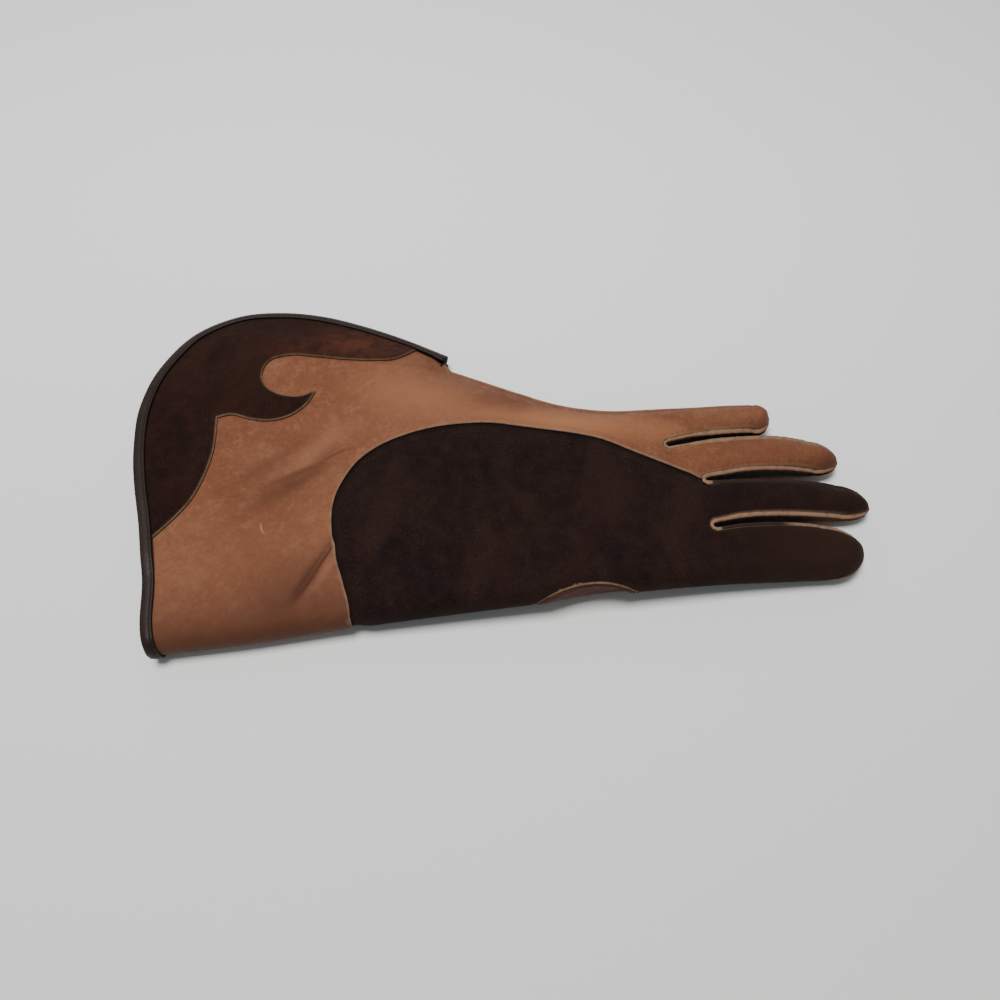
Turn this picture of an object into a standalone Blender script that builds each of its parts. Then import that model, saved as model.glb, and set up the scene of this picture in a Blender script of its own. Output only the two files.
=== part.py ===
"""Left-hand falconry glove, lying on its palm side with the back of the hand up.

The tan leather is cut as one flat pattern and folded along the index-finger side, as the glover does it.
Every leather piece is drawn on that flat pattern, (x, v): x runs from the cuff to the fingertips, and v is
the distance from the fold, positive on the back of the hand and negative on the palm.
folded() bends the pattern into the lying glove. Sizes are in millimetres and are turned into metres last.
"""

import math
from collections import namedtuple

import bpy
import numpy as np
from mathutils import Vector
from mathutils.geometry import delaunay_2d_cdt

MM = 0.001

# Leather thicknesses and the small air gap left between two pieces that are sewn face to face.
TAN = 1.4
SUEDE = 1.4
BINDING = 1.0
SIDE_WALL = 1.2
THUMB_WALL = 1.2
GAP = 0.5

# The fold along the index-finger side: how far it reaches in plan, and the leather's length round a quarter.
FOLD_REACH = 8.0
FOLD_ARC = 12.0
FOLD_ROW = 4.0

# Half the height of two leathers pinched together in a seam, and the seam's free edge.
PINCHED = TAN + 0.2
SEAM_FLANGE = 2.2
# The flaps of a finger stop short of its outline, where the side walls between the fingers stand.
FLAP_INSET = SIDE_WALL + 0.4
# How high the side walls between the fingers stand, as a share of the finger's height.
SIDE_SHARE = 0.72
SIDE_LIP = 0.5

# Moves the drawing's origin to the middle of the finished glove's box.
CENTRE_X = 1.8
CENTRE_Y = -17.9

# Sections across the glove. near is the fold's outer face, top and bottom the leather's outer faces.
Section = namedtuple("Section", "x near top bottom")
SECTIONS = (
    Section(x=-215, near=-101.6, top=20.6, bottom=1.6),
    Section(x=-172, near=-94.7, top=20.8, bottom=1.6),
    Section(x=-126, near=-88.7, top=21.2, bottom=1.2),
    Section(x=-76, near=-79.6, top=22.2, bottom=3.0),
    Section(x=-25, near=-72.4, top=24.0, bottom=6.0),
    Section(x=20, near=-67.2, top=25.4, bottom=8.8),
    Section(x=72, near=-62.4, top=25.2, bottom=8.8),
    Section(x=112, near=-58.4, top=23.0, bottom=7.4),
    Section(x=150, near=-55.0, top=20.6, bottom=3.2),
    Section(x=192, near=-52.0, top=15.6, bottom=1.0),
)

# The cuff's mouth, from the fold round the big free curve to the end of the open side.
# reach is how far from the edge the leather takes to come to the section's own height.
Rim = namedtuple("Rim", "x y top bottom reach")
MOUTH = (
    Rim(x=-175.9, y=-82, top=19.4, bottom=1.6, reach=30),
    Rim(x=-179.2, y=-62, top=19.8, bottom=1.6, reach=30),
    Rim(x=-187.2, y=-31, top=20.2, bottom=1.6, reach=30),
    Rim(x=-199.7, y=10, top=20.8, bottom=1.6, reach=34),
    Rim(x=-205.2, y=49.5, top=21.2, bottom=1.6, reach=44),
    Rim(x=-200.7, y=80.4, top=17.0, bottom=1.6, reach=54),
    Rim(x=-185.4, y=112.0, top=11.6, bottom=1.6, reach=60),
    Rim(x=-162.2, y=127.8, top=8.4, bottom=1.6, reach=60),
    Rim(x=-138.0, y=130.4, top=8.1, bottom=1.6, reach=60),
    Rim(x=-112.4, y=127.2, top=8.1, bottom=1.6, reach=58),
    Rim(x=-84.6, y=118.4, top=8.1, bottom=1.6, reach=54),
    Rim(x=-58.7, y=107.4, top=8.2, bottom=1.6, reach=48),
    Rim(x=-38.0, y=96.7, top=8.6, bottom=1.6, reach=42),
)
MOUTH_FOLD_X = -172.2

# The outer seam from the end of the open side to the little finger.
SEAM = (
    Rim(x=-30.6, y=86.2, top=8.8, bottom=5.2, reach=34),
    Rim(x=-11.5, y=77.6, top=9.8, bottom=6.6, reach=32),
    Rim(x=12.0, y=66.2, top=12.2, bottom=9.0, reach=28),
    Rim(x=34.0, y=56.2, top=14.6, bottom=11.4, reach=24),
    Rim(x=60.0, y=51.0, top=15.8, bottom=12.6, reach=18),
)

# Fingers, with their outlines at stations along x and the point of the tip. crotch is the bottom of the
# gap on the finger's far side.
Station = namedtuple("Station", "x near far")
Finger = namedtuple("Finger", "name stations tip_x tip_y crotch")
INDEX = Finger(
    "index",
    (
        Station(x=100, near=-59.4, far=-31.6),
        Station(x=130, near=-56.8, far=-25.4),
        Station(x=152, near=-54.8, far=-23.4),
        Station(x=172, near=-53.4, far=-22.6),
    ),
    tip_x=193.6,
    tip_y=-36.0,
    crotch=114.0,
)
MIDDLE = Finger(
    "middle",
    (
        Station(x=100, near=-29.2, far=-1.4),
        Station(x=130, near=-21.0, far=1.6),
        Station(x=151, near=-18.8, far=2.8),
        Station(x=172, near=-17.8, far=3.6),
        Station(x=186, near=-17.2, far=3.2),
    ),
    tip_x=203.2,
    tip_y=-9.0,
    crotch=113.0,
)
RING = Finger(
    "ring",
    (
        Station(x=84, near=-2.0, far=19.6),
        Station(x=113, near=3.2, far=26.4),
        Station(x=137, near=8.6, far=30.4),
        Station(x=158, near=10.8, far=32.6),
        Station(x=176, near=11.2, far=32.0),
    ),
    tip_x=191.6,
    tip_y=20.4,
    crotch=94.0,
)
LITTLE = Finger(
    "little",
    (
        Station(x=84, near=22.0, far=49.9),
        Station(x=114, near=31.0, far=52.8),
        Station(x=135, near=35.0, far=55.6),
        Station(x=146, near=37.0, far=56.6),
    ),
    tip_x=156.8,
    tip_y=49.4,
    crotch=None,
)

# Soft dents and rises of the back, along a line from one end to the other.
Crease = namedtuple("Crease", "x0 y0 x1 y1 height width")
CREASES = (
    Crease(x0=-84, y0=-44, x1=-130, y1=-78, height=-1.2, width=14),
    Crease(x0=-92, y0=14, x1=-156, y1=-16, height=-1.1, width=16),
    Crease(x0=-24, y0=62, x1=26, y1=44, height=-0.9, width=15),
)

# The edge of the tan leather over the hand's suede, from the fold round to the gap beside the ring finger.
Point = namedtuple("Point", "x y")
HAND_EDGE = (
    Point(-74.0, -79.2),
    Point(-74.8, -73.5),
    Point(-78.6, -62.0),
    Point(-84.4, -45.0),
    Point(-88.6, -26.0),
    Point(-88.4, -9.0),
    Point(-82.0, 6.5),
    Point(-67.0, 22.6),
    Point(-46.0, 31.8),
    Point(-14.0, 36.8),
    Point(22.0, 32.0),
    Point(56.0, 24.8),
    Point(84.0, 12.0),
    Point(109.4, 1.4),
)
HAND_EDGE_FOLD_X = -74.0
# How far the suede reaches under the tan leather, and how far from that edge it has come up level with it.
LAP = 8.0
LEVEL_AFTER = 10.0

# The scroll that the cuff's suede is cut to, from the mouth's near side to its far side.
SCROLL = (
    (
        Point(-181.4, -35.7),
        Point(-172.4, -24.3),
        Point(-163.0, -6.9),
        Point(-159.0, 12.7),
        Point(-159.2, 26.7),
        Point(-160.6, 41.5),
    ),
    (
        Point(-160.6, 41.5),
        Point(-154.0, 43.3),
        Point(-141.4, 40.5),
        Point(-129.4, 39.9),
        Point(-118.4, 43.3),
        Point(-111.0, 50.7),
        Point(-106.8, 60.1),
    ),
    (
        Point(-106.8, 60.1),
        Point(-116.0, 56.3),
        Point(-126.4, 57.1),
        Point(-136.0, 63.5),
        Point(-140.4, 74.1),
        Point(-136.8, 84.3),
        Point(-127.4, 87.9),
        Point(-111.4, 87.3),
        Point(-91.4, 85.5),
        Point(-75.4, 84.5),
        Point(-63.4, 86.9),
        Point(-53.4, 97.7),
        Point(-50.0, 103.9),
    ),
)

# The opening for the thumb, an oval on the flat pattern that reaches a little over the fold.
THUMB_HOLE_X = 46.6
THUMB_HOLE_V = -12.0
THUMB_HOLE_LONG = 28.0
THUMB_HOLE_WIDE = 18.0
THUMB_ROUND = 24
THUMB_CLEARANCE = 1.0

# Sections of the thumb past its opening. It is tucked flat under the palm and points to the fingers.
ThumbSection = namedtuple("ThumbSection", "x near far top bottom")
THUMB = (
    ThumbSection(x=77, near=-56.0, far=-13.0, top=8.2, bottom=0.0),
    ThumbSection(x=86, near=-52.4, far=-11.0, top=8.0, bottom=0.0),
    ThumbSection(x=95, near=-48.4, far=-10.4, top=7.8, bottom=0.0),
    ThumbSection(x=102, near=-44.6, far=-11.6, top=7.2, bottom=0.0),
    ThumbSection(x=107, near=-40.4, far=-14.2, top=6.4, bottom=0.3),
    ThumbSection(x=110.6, near=-35.0, far=-18.2, top=5.2, bottom=1.0),
)
THUMB_TIP = (112.0, -26.6, 3.2)
THUMB_SQUARENESS = 0.55
# Shares of the way from the opening to the first section, and how far down the middle of the way hangs.
THUMB_STAGES = (0.22, 0.46, 0.72)
THUMB_HANG = 0.38

# Binding: the leg on each face, its clearance to the leather, and the spacing of the mouth's points.
BINDING_LEG = 5.2
BINDING_GAP = 0.55
MOUTH_SHARE = 0.58
BINDING_CLIMB = 12.0
BINDING_CLIMB_END = 22.0

# Mesh spacing: fine in the fingers, wide in the cuff.
Zone = namedtuple("Zone", "x step")
ZONES = (
    Zone(x=-230, step=17.0),
    Zone(x=-60, step=15.5),
    Zone(x=0, step=12.5),
    Zone(x=84, step=8.0),
    Zone(x=210, step=7.4),
)

# The share of the mesh spacing kept free of inner points beside an outline.
EDGE_ROOM = 0.42

COLOURS = {
    "tan_leather": (0.26, 0.105, 0.052),
    "dark_suede": (0.020, 0.010, 0.008),
    "binding_leather": (0.050, 0.036, 0.031),
    "thumb_leather": (0.105, 0.035, 0.020),
}


def smooth(at, knots, values):
    """A cubic curve through the knots, straight past both ends."""
    at = np.asarray(at, float)
    knots = np.asarray(knots, float)
    values = np.asarray(values, float)
    slopes = np.gradient(values, knots)
    i = np.clip(np.searchsorted(knots, at) - 1, 0, len(knots) - 2)
    width = knots[i + 1] - knots[i]
    t = (at - knots[i]) / width
    inside = np.clip(t, 0, 1)
    cube, square = inside**3, inside**2
    made = (
        values[i] * (2 * cube - 3 * square + 1)
        + slopes[i] * width * (cube - 2 * square + inside)
        + values[i + 1] * (3 * square - 2 * cube)
        + slopes[i + 1] * width * (cube - square)
    )
    end_slope = np.where(t < 0, slopes[i], slopes[i + 1])
    return made + (t - inside) * width * end_slope


def column(rows, name):
    return np.array([getattr(row, name) for row in rows], float)


def section(x, name):
    return smooth(x, column(SECTIONS, "x"), column(SECTIONS, name))


def middle_height(x):
    return (section(x, "top") + section(x, "bottom")) / 2


def spacing(x):
    return np.interp(x, column(ZONES, "x"), column(ZONES, "step"))


def curve_through(rows, step=1.5):
    """Samples a smooth curve through rows of numbers, whose first two are x and y."""
    rows = np.array(rows, float)
    chord = np.r_[0, np.cumsum(np.hypot(*np.diff(rows[:, :2], axis=0).T))]
    at = np.linspace(0, chord[-1], max(3, int(chord[-1] / step)))
    return np.column_stack([smooth(at, chord, rows[:, k]) for k in range(rows.shape[1])])


def thinned(points, share=1.0):
    """Keeps the pattern points of a dense curve at the mesh spacing, and both of its ends."""
    length = np.hypot(*np.diff(points, axis=0).T)
    wanted_step = share * spacing(points[1:, 0])
    on_fold = np.abs(points[1:, 1]) < FOLD_ARC + 1
    wanted_step = np.where(on_fold, np.minimum(wanted_step, FOLD_ROW), wanted_step)
    weighted = np.r_[0, np.cumsum(length / wanted_step)]
    count = max(2, int(round(weighted[-1])) + 1)
    wanted = np.linspace(0, weighted[-1], count)
    return np.column_stack([np.interp(wanted, weighted, points[:, k]) for k in (0, 1)])


def quarter_ellipse(start, end, count=9):
    """From start, where it runs along x, to end, where it runs along y."""
    angle = np.linspace(0, math.pi / 2, count)
    x = start[0] + (end[0] - start[0]) * np.sin(angle)
    y = end[1] + (start[1] - end[1]) * np.cos(angle)
    return np.column_stack([x, y])


def side_line(finger, side, inset, start_x, step=1.5):
    """The straight part of one side of a finger, from start_x to its last station."""
    x = np.arange(start_x, finger.stations[-1].x + 0.01, step)
    x = np.r_[x, finger.stations[-1].x] if finger.stations[-1].x - x[-1] > 0.1 else x
    y = smooth(x, column(finger.stations, "x"), column(finger.stations, side))
    return np.column_stack([x, y + (inset if side == "near" else -inset)])


def tip_line(finger, near_inset, far_inset):
    """Round the tip, from the far side to the near side."""
    last = finger.stations[-1]
    tip = (finger.tip_x - max(far_inset - FLAP_INSET, 0), finger.tip_y)
    far = quarter_ellipse((last.x, last.far - far_inset), tip)
    near = quarter_ellipse((last.x, last.near + near_inset), tip)
    return np.vstack([far[1:], near[::-1][1:-1]])


def crotch_line(lower, upper, inset, count=13):
    """Round the bottom of the gap between two fingers, from the upper finger to the lower one."""
    x = lower.crotch
    low = smooth(x, column(lower.stations, "x"), column(lower.stations, "far")) - inset
    high = smooth(x, column(upper.stations, "x"), column(upper.stations, "near")) + inset
    angle = np.linspace(math.pi / 2, -math.pi / 2, count)
    half = (high - low) / 2
    return np.column_stack([x - half * np.cos(angle), (low + high) / 2 + half * np.sin(angle)])


def side_half_height(x, finger, start_x):
    """Half the height of the wall beside a finger: full at the gap's bottom, pinched before the tip."""
    full = SIDE_SHARE * (section(x, "top") - section(x, "bottom")) / 2
    along = np.clip((x - start_x) / (finger.stations[-1].x - start_x), 0, 1)
    return PINCHED + (full - PINCHED) * np.sqrt(1 - along**2)


def with_heights(points, half, reach, flange, power):
    """Adds the edge's heights to plan points: x, y, top, bottom, reach, flange, power."""
    middle = middle_height(points[:, 0])
    ones = np.ones(len(points))
    return np.column_stack(
        [points, middle + half, middle - half, reach * ones, flange * ones, power * ones]
    )


def finger_edges(inset):
    """The edge of the back from the little finger's seam to the index fingertip, with its heights."""
    parts = []
    lowers = (RING, MIDDLE, INDEX)
    seam = side_line(LITTLE, "far", 0, 88)
    parts.append(with_heights(seam, PINCHED, np.linspace(15, 9, len(seam)), SEAM_FLANGE, 0.75))
    parts.append(with_heights(tip_line(LITTLE, inset, 0), PINCHED, 9, 0.6, 0.55))
    for upper, lower in zip((LITTLE, RING, MIDDLE), lowers):
        start = lower.crotch
        near = side_line(upper, "near", inset, start)[::-1]
        parts.append(with_heights(near, side_half_height(near[:, 0], upper, start), 10, 0, 0.8))
        bottom = crotch_line(lower, upper, inset)[1:-1]
        half = side_half_height(bottom[:, 0], lower, start)
        parts.append(with_heights(bottom, half, 10, 0, 0.9))
        far = side_line(lower, "far", inset, start)
        parts.append(with_heights(far, side_half_height(far[:, 0], lower, start), 10, 0, 0.8))
        near_inset = 0 if lower is INDEX else inset
        parts.append(with_heights(tip_line(lower, near_inset, inset), PINCHED, 9, 0.6, 0.55))
    return np.vstack(parts)


def rim_rows(rows, flange):
    return [(r.x, r.y, r.top, r.bottom, r.reach, flange, 1.0) for r in rows]


def mouth_edge():
    """The mouth from the fold to the end of the open side. It crosses the fold at a right angle."""
    corner = (MOUTH_FOLD_X, section(MOUTH_FOLD_X, "near"), 19.2, 1.6, 30, 0, 1.0)
    return curve_through([corner] + rim_rows(MOUTH, 0))


def seam_edge():
    return curve_through(rim_rows(SEAM, SEAM_FLANGE) + [finger_edges(FLAP_INSET)[0]])


def outline_of_back():
    """The edge of the tan leather's back half, from the fold at the mouth to the fold at the index tip."""
    return np.vstack([mouth_edge(), seam_edge()[:-1], finger_edges(FLAP_INSET)])


EDGE = outline_of_back()


def creases(x, y):
    """Height that the creases add at points of the back."""
    added = np.zeros_like(x)
    for c in CREASES:
        run = np.array([c.x1 - c.x0, c.y1 - c.y0], float)
        length = np.hypot(*run)
        run /= length
        along = (x - c.x0) * run[0] + (y - c.y0) * run[1]
        across = (y - c.y0) * run[0] - (x - c.x0) * run[1]
        ends = np.clip(np.minimum(along, length - along) / (0.35 * length), 0, 1)
        added += c.height * np.exp(-((across / c.width) ** 2)) * ends * ends * (3 - 2 * ends)
    return added


def faces_at(x, y):
    """Heights of the outer faces, back and palm, over plan points. The edges hold them down or up."""
    top = section(x, "top") + creases(x, y)
    bottom = section(x, "bottom")
    a, b = EDGE[:-1], EDGE[1:]
    run = b[:, :2] - a[:, :2]
    square = np.maximum((run**2).sum(1), 1e-9)
    made_top, made_bottom = top.copy(), bottom.copy()
    for start in range(0, len(x), 4000):
        part = slice(start, start + 4000)
        offset = np.stack([x[part, None] - a[None, :, 0], y[part, None] - a[None, :, 1]], -1)
        t = np.clip((offset * run).sum(-1) / square, 0, 1)
        distance = np.hypot(offset[..., 0] - t * run[:, 0], offset[..., 1] - t * run[:, 1])
        edge = [a[:, k] + t * (b[:, k] - a[:, k]) for k in range(2, 7)]
        share = np.clip((distance - edge[3]) / edge[2], 0, 1)
        kept = (1 - (1 - share) ** 2) ** edge[4]
        over = (edge[0] - top[part, None]) * (1 - kept)
        under = (edge[1] - bottom[part, None]) * (1 - kept)
        made_top[part] += np.minimum(over.min(1), 0)
        made_bottom[part] += np.maximum(under.max(1), 0) + np.minimum(under.min(1), 0)
    return made_top, made_bottom


def unfolded(points):
    """Plan points of the back, (x, y), on the flat pattern."""
    x, reach = points[:, 0], points[:, 1] - section(points[:, 0], "near")
    turned = np.arccos(np.clip(1 - reach / FOLD_REACH, -1, 1)) * FOLD_ARC / (math.pi / 2)
    return np.column_stack([x, np.where(reach < FOLD_REACH, turned, FOLD_ARC + reach - FOLD_REACH)])


def refolded(pattern):
    """Pattern points beyond the fold, back in plan."""
    x, v = pattern[:, 0], pattern[:, 1]
    return np.column_stack([x, section(x, "near") + FOLD_REACH + v - FOLD_ARC])


def folded(pattern):
    """The flat pattern's points on the glove's outer face."""
    x, v = pattern[:, 0], pattern[:, 1]
    away = np.abs(v)
    angle = np.clip(away / FOLD_ARC, 0, 1) * math.pi / 2
    reach = np.where(away < FOLD_ARC, FOLD_REACH * (1 - np.cos(angle)), FOLD_REACH + away - FOLD_ARC)
    y = section(x, "near") + reach
    top, bottom = faces_at(x, y)
    middle = middle_height(x)
    height = middle + (np.where(v > 0, top, bottom) - middle) * np.sin(angle)
    return np.column_stack([x, y, height])


def inside(points, polygon):
    """Which points lie inside a closed polygon."""
    x, y = points[:, 0, None], points[:, 1, None]
    ax, ay = polygon[:, 0], polygon[:, 1]
    bx, by = np.roll(ax, -1), np.roll(ay, -1)
    crosses = (ay > y) != (by > y)
    with np.errstate(divide="ignore", invalid="ignore"):
        at = ax + (y - ay) * (bx - ax) / (by - ay)
    return (crosses & (x < at)).sum(1) % 2 == 1


def distance_to(points, polygon):
    """Distances to the nearest side of a closed polygon."""
    a, b = polygon, np.roll(polygon, -1, axis=0)
    run = b - a
    square = np.maximum((run**2).sum(1), 1e-9)
    offset = points[:, None, :] - a[None]
    t = np.clip((offset * run).sum(-1) / square, 0, 1)
    return np.hypot(*(offset - t[..., None] * run).transpose(2, 0, 1)).min(1)


def lattice():
    """The inner points of every pattern: rows along the fold, and a staggered grid elsewhere."""
    points = []
    x = -212.0
    odd = False
    while x < 205:
        step = float(spacing(x))
        rows = list(np.arange(0, FOLD_ARC + 0.1, FOLD_ROW))
        rows += list(np.arange(FOLD_ARC + step * (0.5 if odd else 1.0), 240, step))
        for v in rows:
            points += [(x, v)] if v == 0 else [(x, v), (x, -v)]
        x += step * 0.87
        odd = not odd
    return np.array(points)


LATTICE = lattice()


def cut_leather(outline, holes=(), bends=()):
    """Triangles that fill an outline on the flat pattern, counter-clockwise.

    bends are lines inside the outline along which the leather changes its slope.
    """
    loops = [outline, *holes]
    keep = inside(LATTICE, outline)
    room = EDGE_ROOM * spacing(LATTICE[:, 0])
    room = np.where(np.abs(LATTICE[:, 1]) <= FOLD_ARC, np.minimum(room, FOLD_ROW / 2), room)
    for loop in loops:
        keep &= distance_to(LATTICE, loop) > room
    for bend in bends:
        keep &= distance_to(LATTICE, np.vstack([bend, bend[::-1]])) > room
    for hole in holes:
        keep &= ~inside(LATTICE, hole)
    points = np.vstack([*loops, *bends, LATTICE[keep]])
    edges, first = [], 0
    for loop in loops:
        n = len(loop)
        edges += [(first + k, first + (k + 1) % n) for k in range(n)]
        first += n
    for bend in bends:
        edges += [(first + k, first + k + 1) for k in range(len(bend) - 1)]
        first += len(bend)
    made = delaunay_2d_cdt([Vector(p) for p in points], edges, [], 0, 1e-6)
    points = np.array([tuple(p) for p in made[0]])
    faces = np.array([f for f in made[2]])
    middles = points[faces].mean(1)
    kept = inside(middles, outline)
    for hole in holes:
        kept &= ~inside(middles, hole)
    return points, faces[kept]


def material(name):
    made = bpy.data.materials.get(name)
    if made:
        return made
    made = bpy.data.materials.new(name)
    made.use_nodes = True
    shader = made.node_tree.nodes["Principled BSDF"]
    shader.inputs["Base Color"].default_value = (*COLOURS[name], 1)
    shader.inputs["Roughness"].default_value = 0.55 if name == "binding_leather" else 0.85
    shader.inputs["Metallic"].default_value = 0
    return made


def add_object(name, points, faces, slot):
    """A mesh object from points in millimetres."""
    mesh = bpy.data.meshes.new(name)
    placed = (np.asarray(points, float) + (CENTRE_X, CENTRE_Y, 0)) * MM
    mesh.from_pydata([tuple(p) for p in placed], [], [tuple(map(int, f)) for f in faces])
    mesh.validate()
    mesh.shade_smooth()
    made = bpy.data.objects.new(name, mesh)
    mesh.materials.append(material(slot))
    bpy.context.scene.collection.objects.link(made)
    return made


def normals_of(points, faces):
    """A unit normal for each point, from the triangles round it."""
    a, b, c = (points[faces[:, k]] for k in range(3))
    face = np.cross(b - a, c - a)
    made = np.zeros_like(points)
    for k in range(3):
        np.add.at(made, faces[:, k], face)
    return made / np.maximum(np.linalg.norm(made, axis=1), 1e-9)[:, None]


def leather_wall(name, points, faces, slot, low, high, sunk=0.0):
    """A closed wall between two distances from a surface, along its normals. sunk lowers it at each point."""
    normals = normals_of(points, faces)
    points = points - normals * np.reshape(sunk, (-1, 1))
    n = len(points)
    count = {}
    for f in faces:
        for k in range(3):
            count[(f[k], f[(k + 1) % 3])] = True
    free = [(a, b) for a, b in count if (b, a) not in count]
    walls = [(b, a, a + n, b + n) for a, b in free]
    outer = [tuple(f) for f in faces]
    inner = [tuple(f[::-1] + n) for f in faces]
    both = np.vstack([points + normals * high, points + normals * low])
    return add_object(name, both, outer + inner + walls, slot)


def both_sides(chain):
    """A closed pattern outline: the back's edge, then the palm's, mirrored in the fold."""
    palm = chain[::-1] * (1, -1)
    return np.vstack([chain, palm[1:-1]])[::-1]


def on_the_fold(x):
    return np.array([[x, 0.0]])


def sewn_chain(pieces):
    """Lays smooth plan curves on the pattern, thins each by itself, so that corners stay, and joins them."""
    thin = [thinned(unfolded(p[:, :2]), share) for p, share in pieces]
    joined = [thin[0]]
    for piece in thin[1:]:
        same = np.hypot(*(piece[0] - joined[-1][-1])) < 0.2
        joined.append(piece[1:] if same else piece)
    return np.vstack(joined)


def scroll_ends():
    """Where the cuff's suede starts and ends on the mouth, as places in the mouth's dense curve."""
    mouth = mouth_edge()
    ends = (SCROLL[0][0], SCROLL[-1][-1])
    return [int(np.argmin(np.hypot(mouth[:, 0] - p.x, mouth[:, 1] - p.y))) for p in ends]


def mouth_parts():
    """The mouth on the pattern in three runs: bare tan leather, under the cuff's suede, and bare again."""
    mouth = unfolded(mouth_edge()[:, :2])
    first, last = scroll_ends()
    runs = (mouth[: first + 1], mouth[first : last + 1], mouth[last:])
    return [thinned(run, MOUTH_SHARE) for run in runs]


def mouth_chain():
    """The mouth on the pattern, from the fold to the end of the open side. Leather and binding share it."""
    parts = mouth_parts()
    return np.vstack([parts[0], parts[1][1:], parts[2][1:]])


def scroll_chain():
    """The edge of the cuff's suede on the pattern, from the mouth round the scroll and back to the mouth."""
    mouth = mouth_edge()
    curves = [curve_through(part) for part in SCROLL]
    first, last = scroll_ends()
    curves[0][0] = mouth[first, :2]
    curves[-1][-1] = mouth[last, :2]
    return sewn_chain([(curve, 0.5) for curve in curves])


def finger_chain(inset, seam, lowers=(RING, MIDDLE, INDEX)):
    """Plan outline of the fingers from the little finger, or from the first gap named, to the index tip."""
    pieces = []
    uppers = {RING: LITTLE, MIDDLE: RING, INDEX: MIDDLE}
    if seam:
        line = side_line(LITTLE, "far", 0, 88)
        pieces += [(line, 1.0), (np.vstack([line[-1:], tip_line(LITTLE, inset, 0)]), 0.8)]
    for lower in lowers:
        upper = uppers[lower]
        if pieces:
            near = side_line(upper, "near", inset, lower.crotch)[::-1]
            pieces.append((near, 1.0))
        bottom = crotch_line(lower, upper, inset)
        pieces.append((bottom if pieces else bottom[-4:], 0.3))
        pieces.append((side_line(lower, "far", inset, lower.crotch), 1.0))
        last = pieces[-1][0][-1:]
        near_inset = 0 if lower is INDEX else inset
        pieces.append((np.vstack([last, tip_line(lower, near_inset, inset)]), 0.55))
    return pieces


def thumb_hole(grown=0.0):
    angle = np.linspace(0, 2 * math.pi, THUMB_ROUND, endpoint=False)
    x = THUMB_HOLE_X + (THUMB_HOLE_LONG + grown) * np.cos(angle)
    v = THUMB_HOLE_V + (THUMB_HOLE_WIDE + grown) * np.sin(angle)
    return np.column_stack([x, v])


def crotch_of_ring():
    """The bottom of the gap beside the ring finger, in three parts.

    They are the tan leather, the tan leather over the suede, and the suede.
    """
    line = crotch_line(MIDDLE, RING, FLAP_INSET)
    return line[:5], line[4:7], line[6:]


def hand_edge():
    """The tan leather's edge over the suede on the pattern, from the fold to the gap beside the ring finger."""
    edge = curve_through(HAND_EDGE)
    edge[-1] = crotch_of_ring()[1][-1]
    return np.vstack([on_the_fold(HAND_EDGE_FOLD_X), thinned(unfolded(edge), 0.8)[1:]])


def lap_line():
    """The suede's own edge on the pattern, hidden under the tan leather."""
    edge = curve_through(HAND_EDGE)
    ahead = np.gradient(edge, axis=0)
    ahead /= np.linalg.norm(ahead, axis=1)[:, None]
    outward = np.column_stack([-ahead[:, 1], ahead[:, 0]])
    length = np.r_[0, np.cumsum(np.hypot(*np.diff(edge, axis=0).T))]
    last = crotch_of_ring()[0][-1]
    reach_at_gap = np.hypot(*(last - crotch_of_ring()[1][-1]))
    from_gap = np.clip((length[-1] - length) / 30, 0, 1)
    line = edge + outward * (reach_at_gap + (LAP - reach_at_gap) * from_gap)[:, None]
    line[-1] = last
    return np.vstack([on_the_fold(HAND_EDGE_FOLD_X - LAP), thinned(unfolded(line[3:]), 0.8)])


def mirrored_line(line):
    """A line from the fold, run on over the palm as well."""
    return np.vstack([line[::-1], line[1:] * (1, -1)])


def build_body():
    """The tan leather: the cuff, the outer half of the hand, the ring finger and the little finger."""
    pieces = [(seam_edge(), 1.0)] + finger_chain(FLAP_INSET, True, (RING,))
    pieces.append((side_line(RING, "near", FLAP_INSET, MIDDLE.crotch)[::-1], 1.0))
    pieces += [(part, 0.3) for part in crotch_of_ring()[:2]]
    chain = np.vstack([mouth_chain(), sewn_chain(pieces), hand_edge()[::-1][1:]])
    points, faces = cut_leather(both_sides(chain), [], [mirrored_line(lap_line()), scroll_chain()])
    return leather_wall("body_leather", folded(points), faces, "tan_leather", -TAN, 0)


def sunk_under_tan(pattern):
    """How far the suede lies below its own level, so that it passes under the tan leather."""
    edge = hand_edge()
    mirrored = np.column_stack([pattern[:, 0], np.abs(pattern[:, 1]) + 0.01])
    hand = np.vstack([edge, [(edge[-1, 0], 300), (300, 300), (300, 0)]])
    away = np.where(inside(mirrored, hand), distance_to(mirrored, np.vstack([edge, edge[::-1]])), 0)
    share = np.clip(away / LEVEL_AFTER, 0, 1)
    return (TAN + GAP) * (1 - share * share * (3 - 2 * share))


def build_hand_suede():
    """The suede over the index and middle fingers and the hand, wrapped round the fold to the palm."""
    pieces = [(part, 0.3) for part in crotch_of_ring()[1:]]
    pieces += finger_chain(FLAP_INSET, False, (MIDDLE, INDEX))[1:]
    chain = np.vstack([lap_line()[:-1], sewn_chain(pieces)])
    chain = np.vstack([chain[:-1], on_the_fold(chain[-1, 0] + 0.5)])
    points, faces = cut_leather(both_sides(chain), [thumb_hole()], [mirrored_line(hand_edge())])
    sunk = sunk_under_tan(points)
    return leather_wall("hand_suede", folded(points), faces, "dark_suede", -SUEDE, 0, sunk)


def build_cuff_overlay():
    """The suede on the back of the cuff, between the mouth and the scroll."""
    loop = np.vstack([scroll_chain(), mouth_parts()[1][::-1][1:-1]])
    points, faces = cut_leather(loop)
    return leather_wall("cuff_overlay", folded(points), faces, "dark_suede", GAP, GAP + SUEDE)


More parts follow.
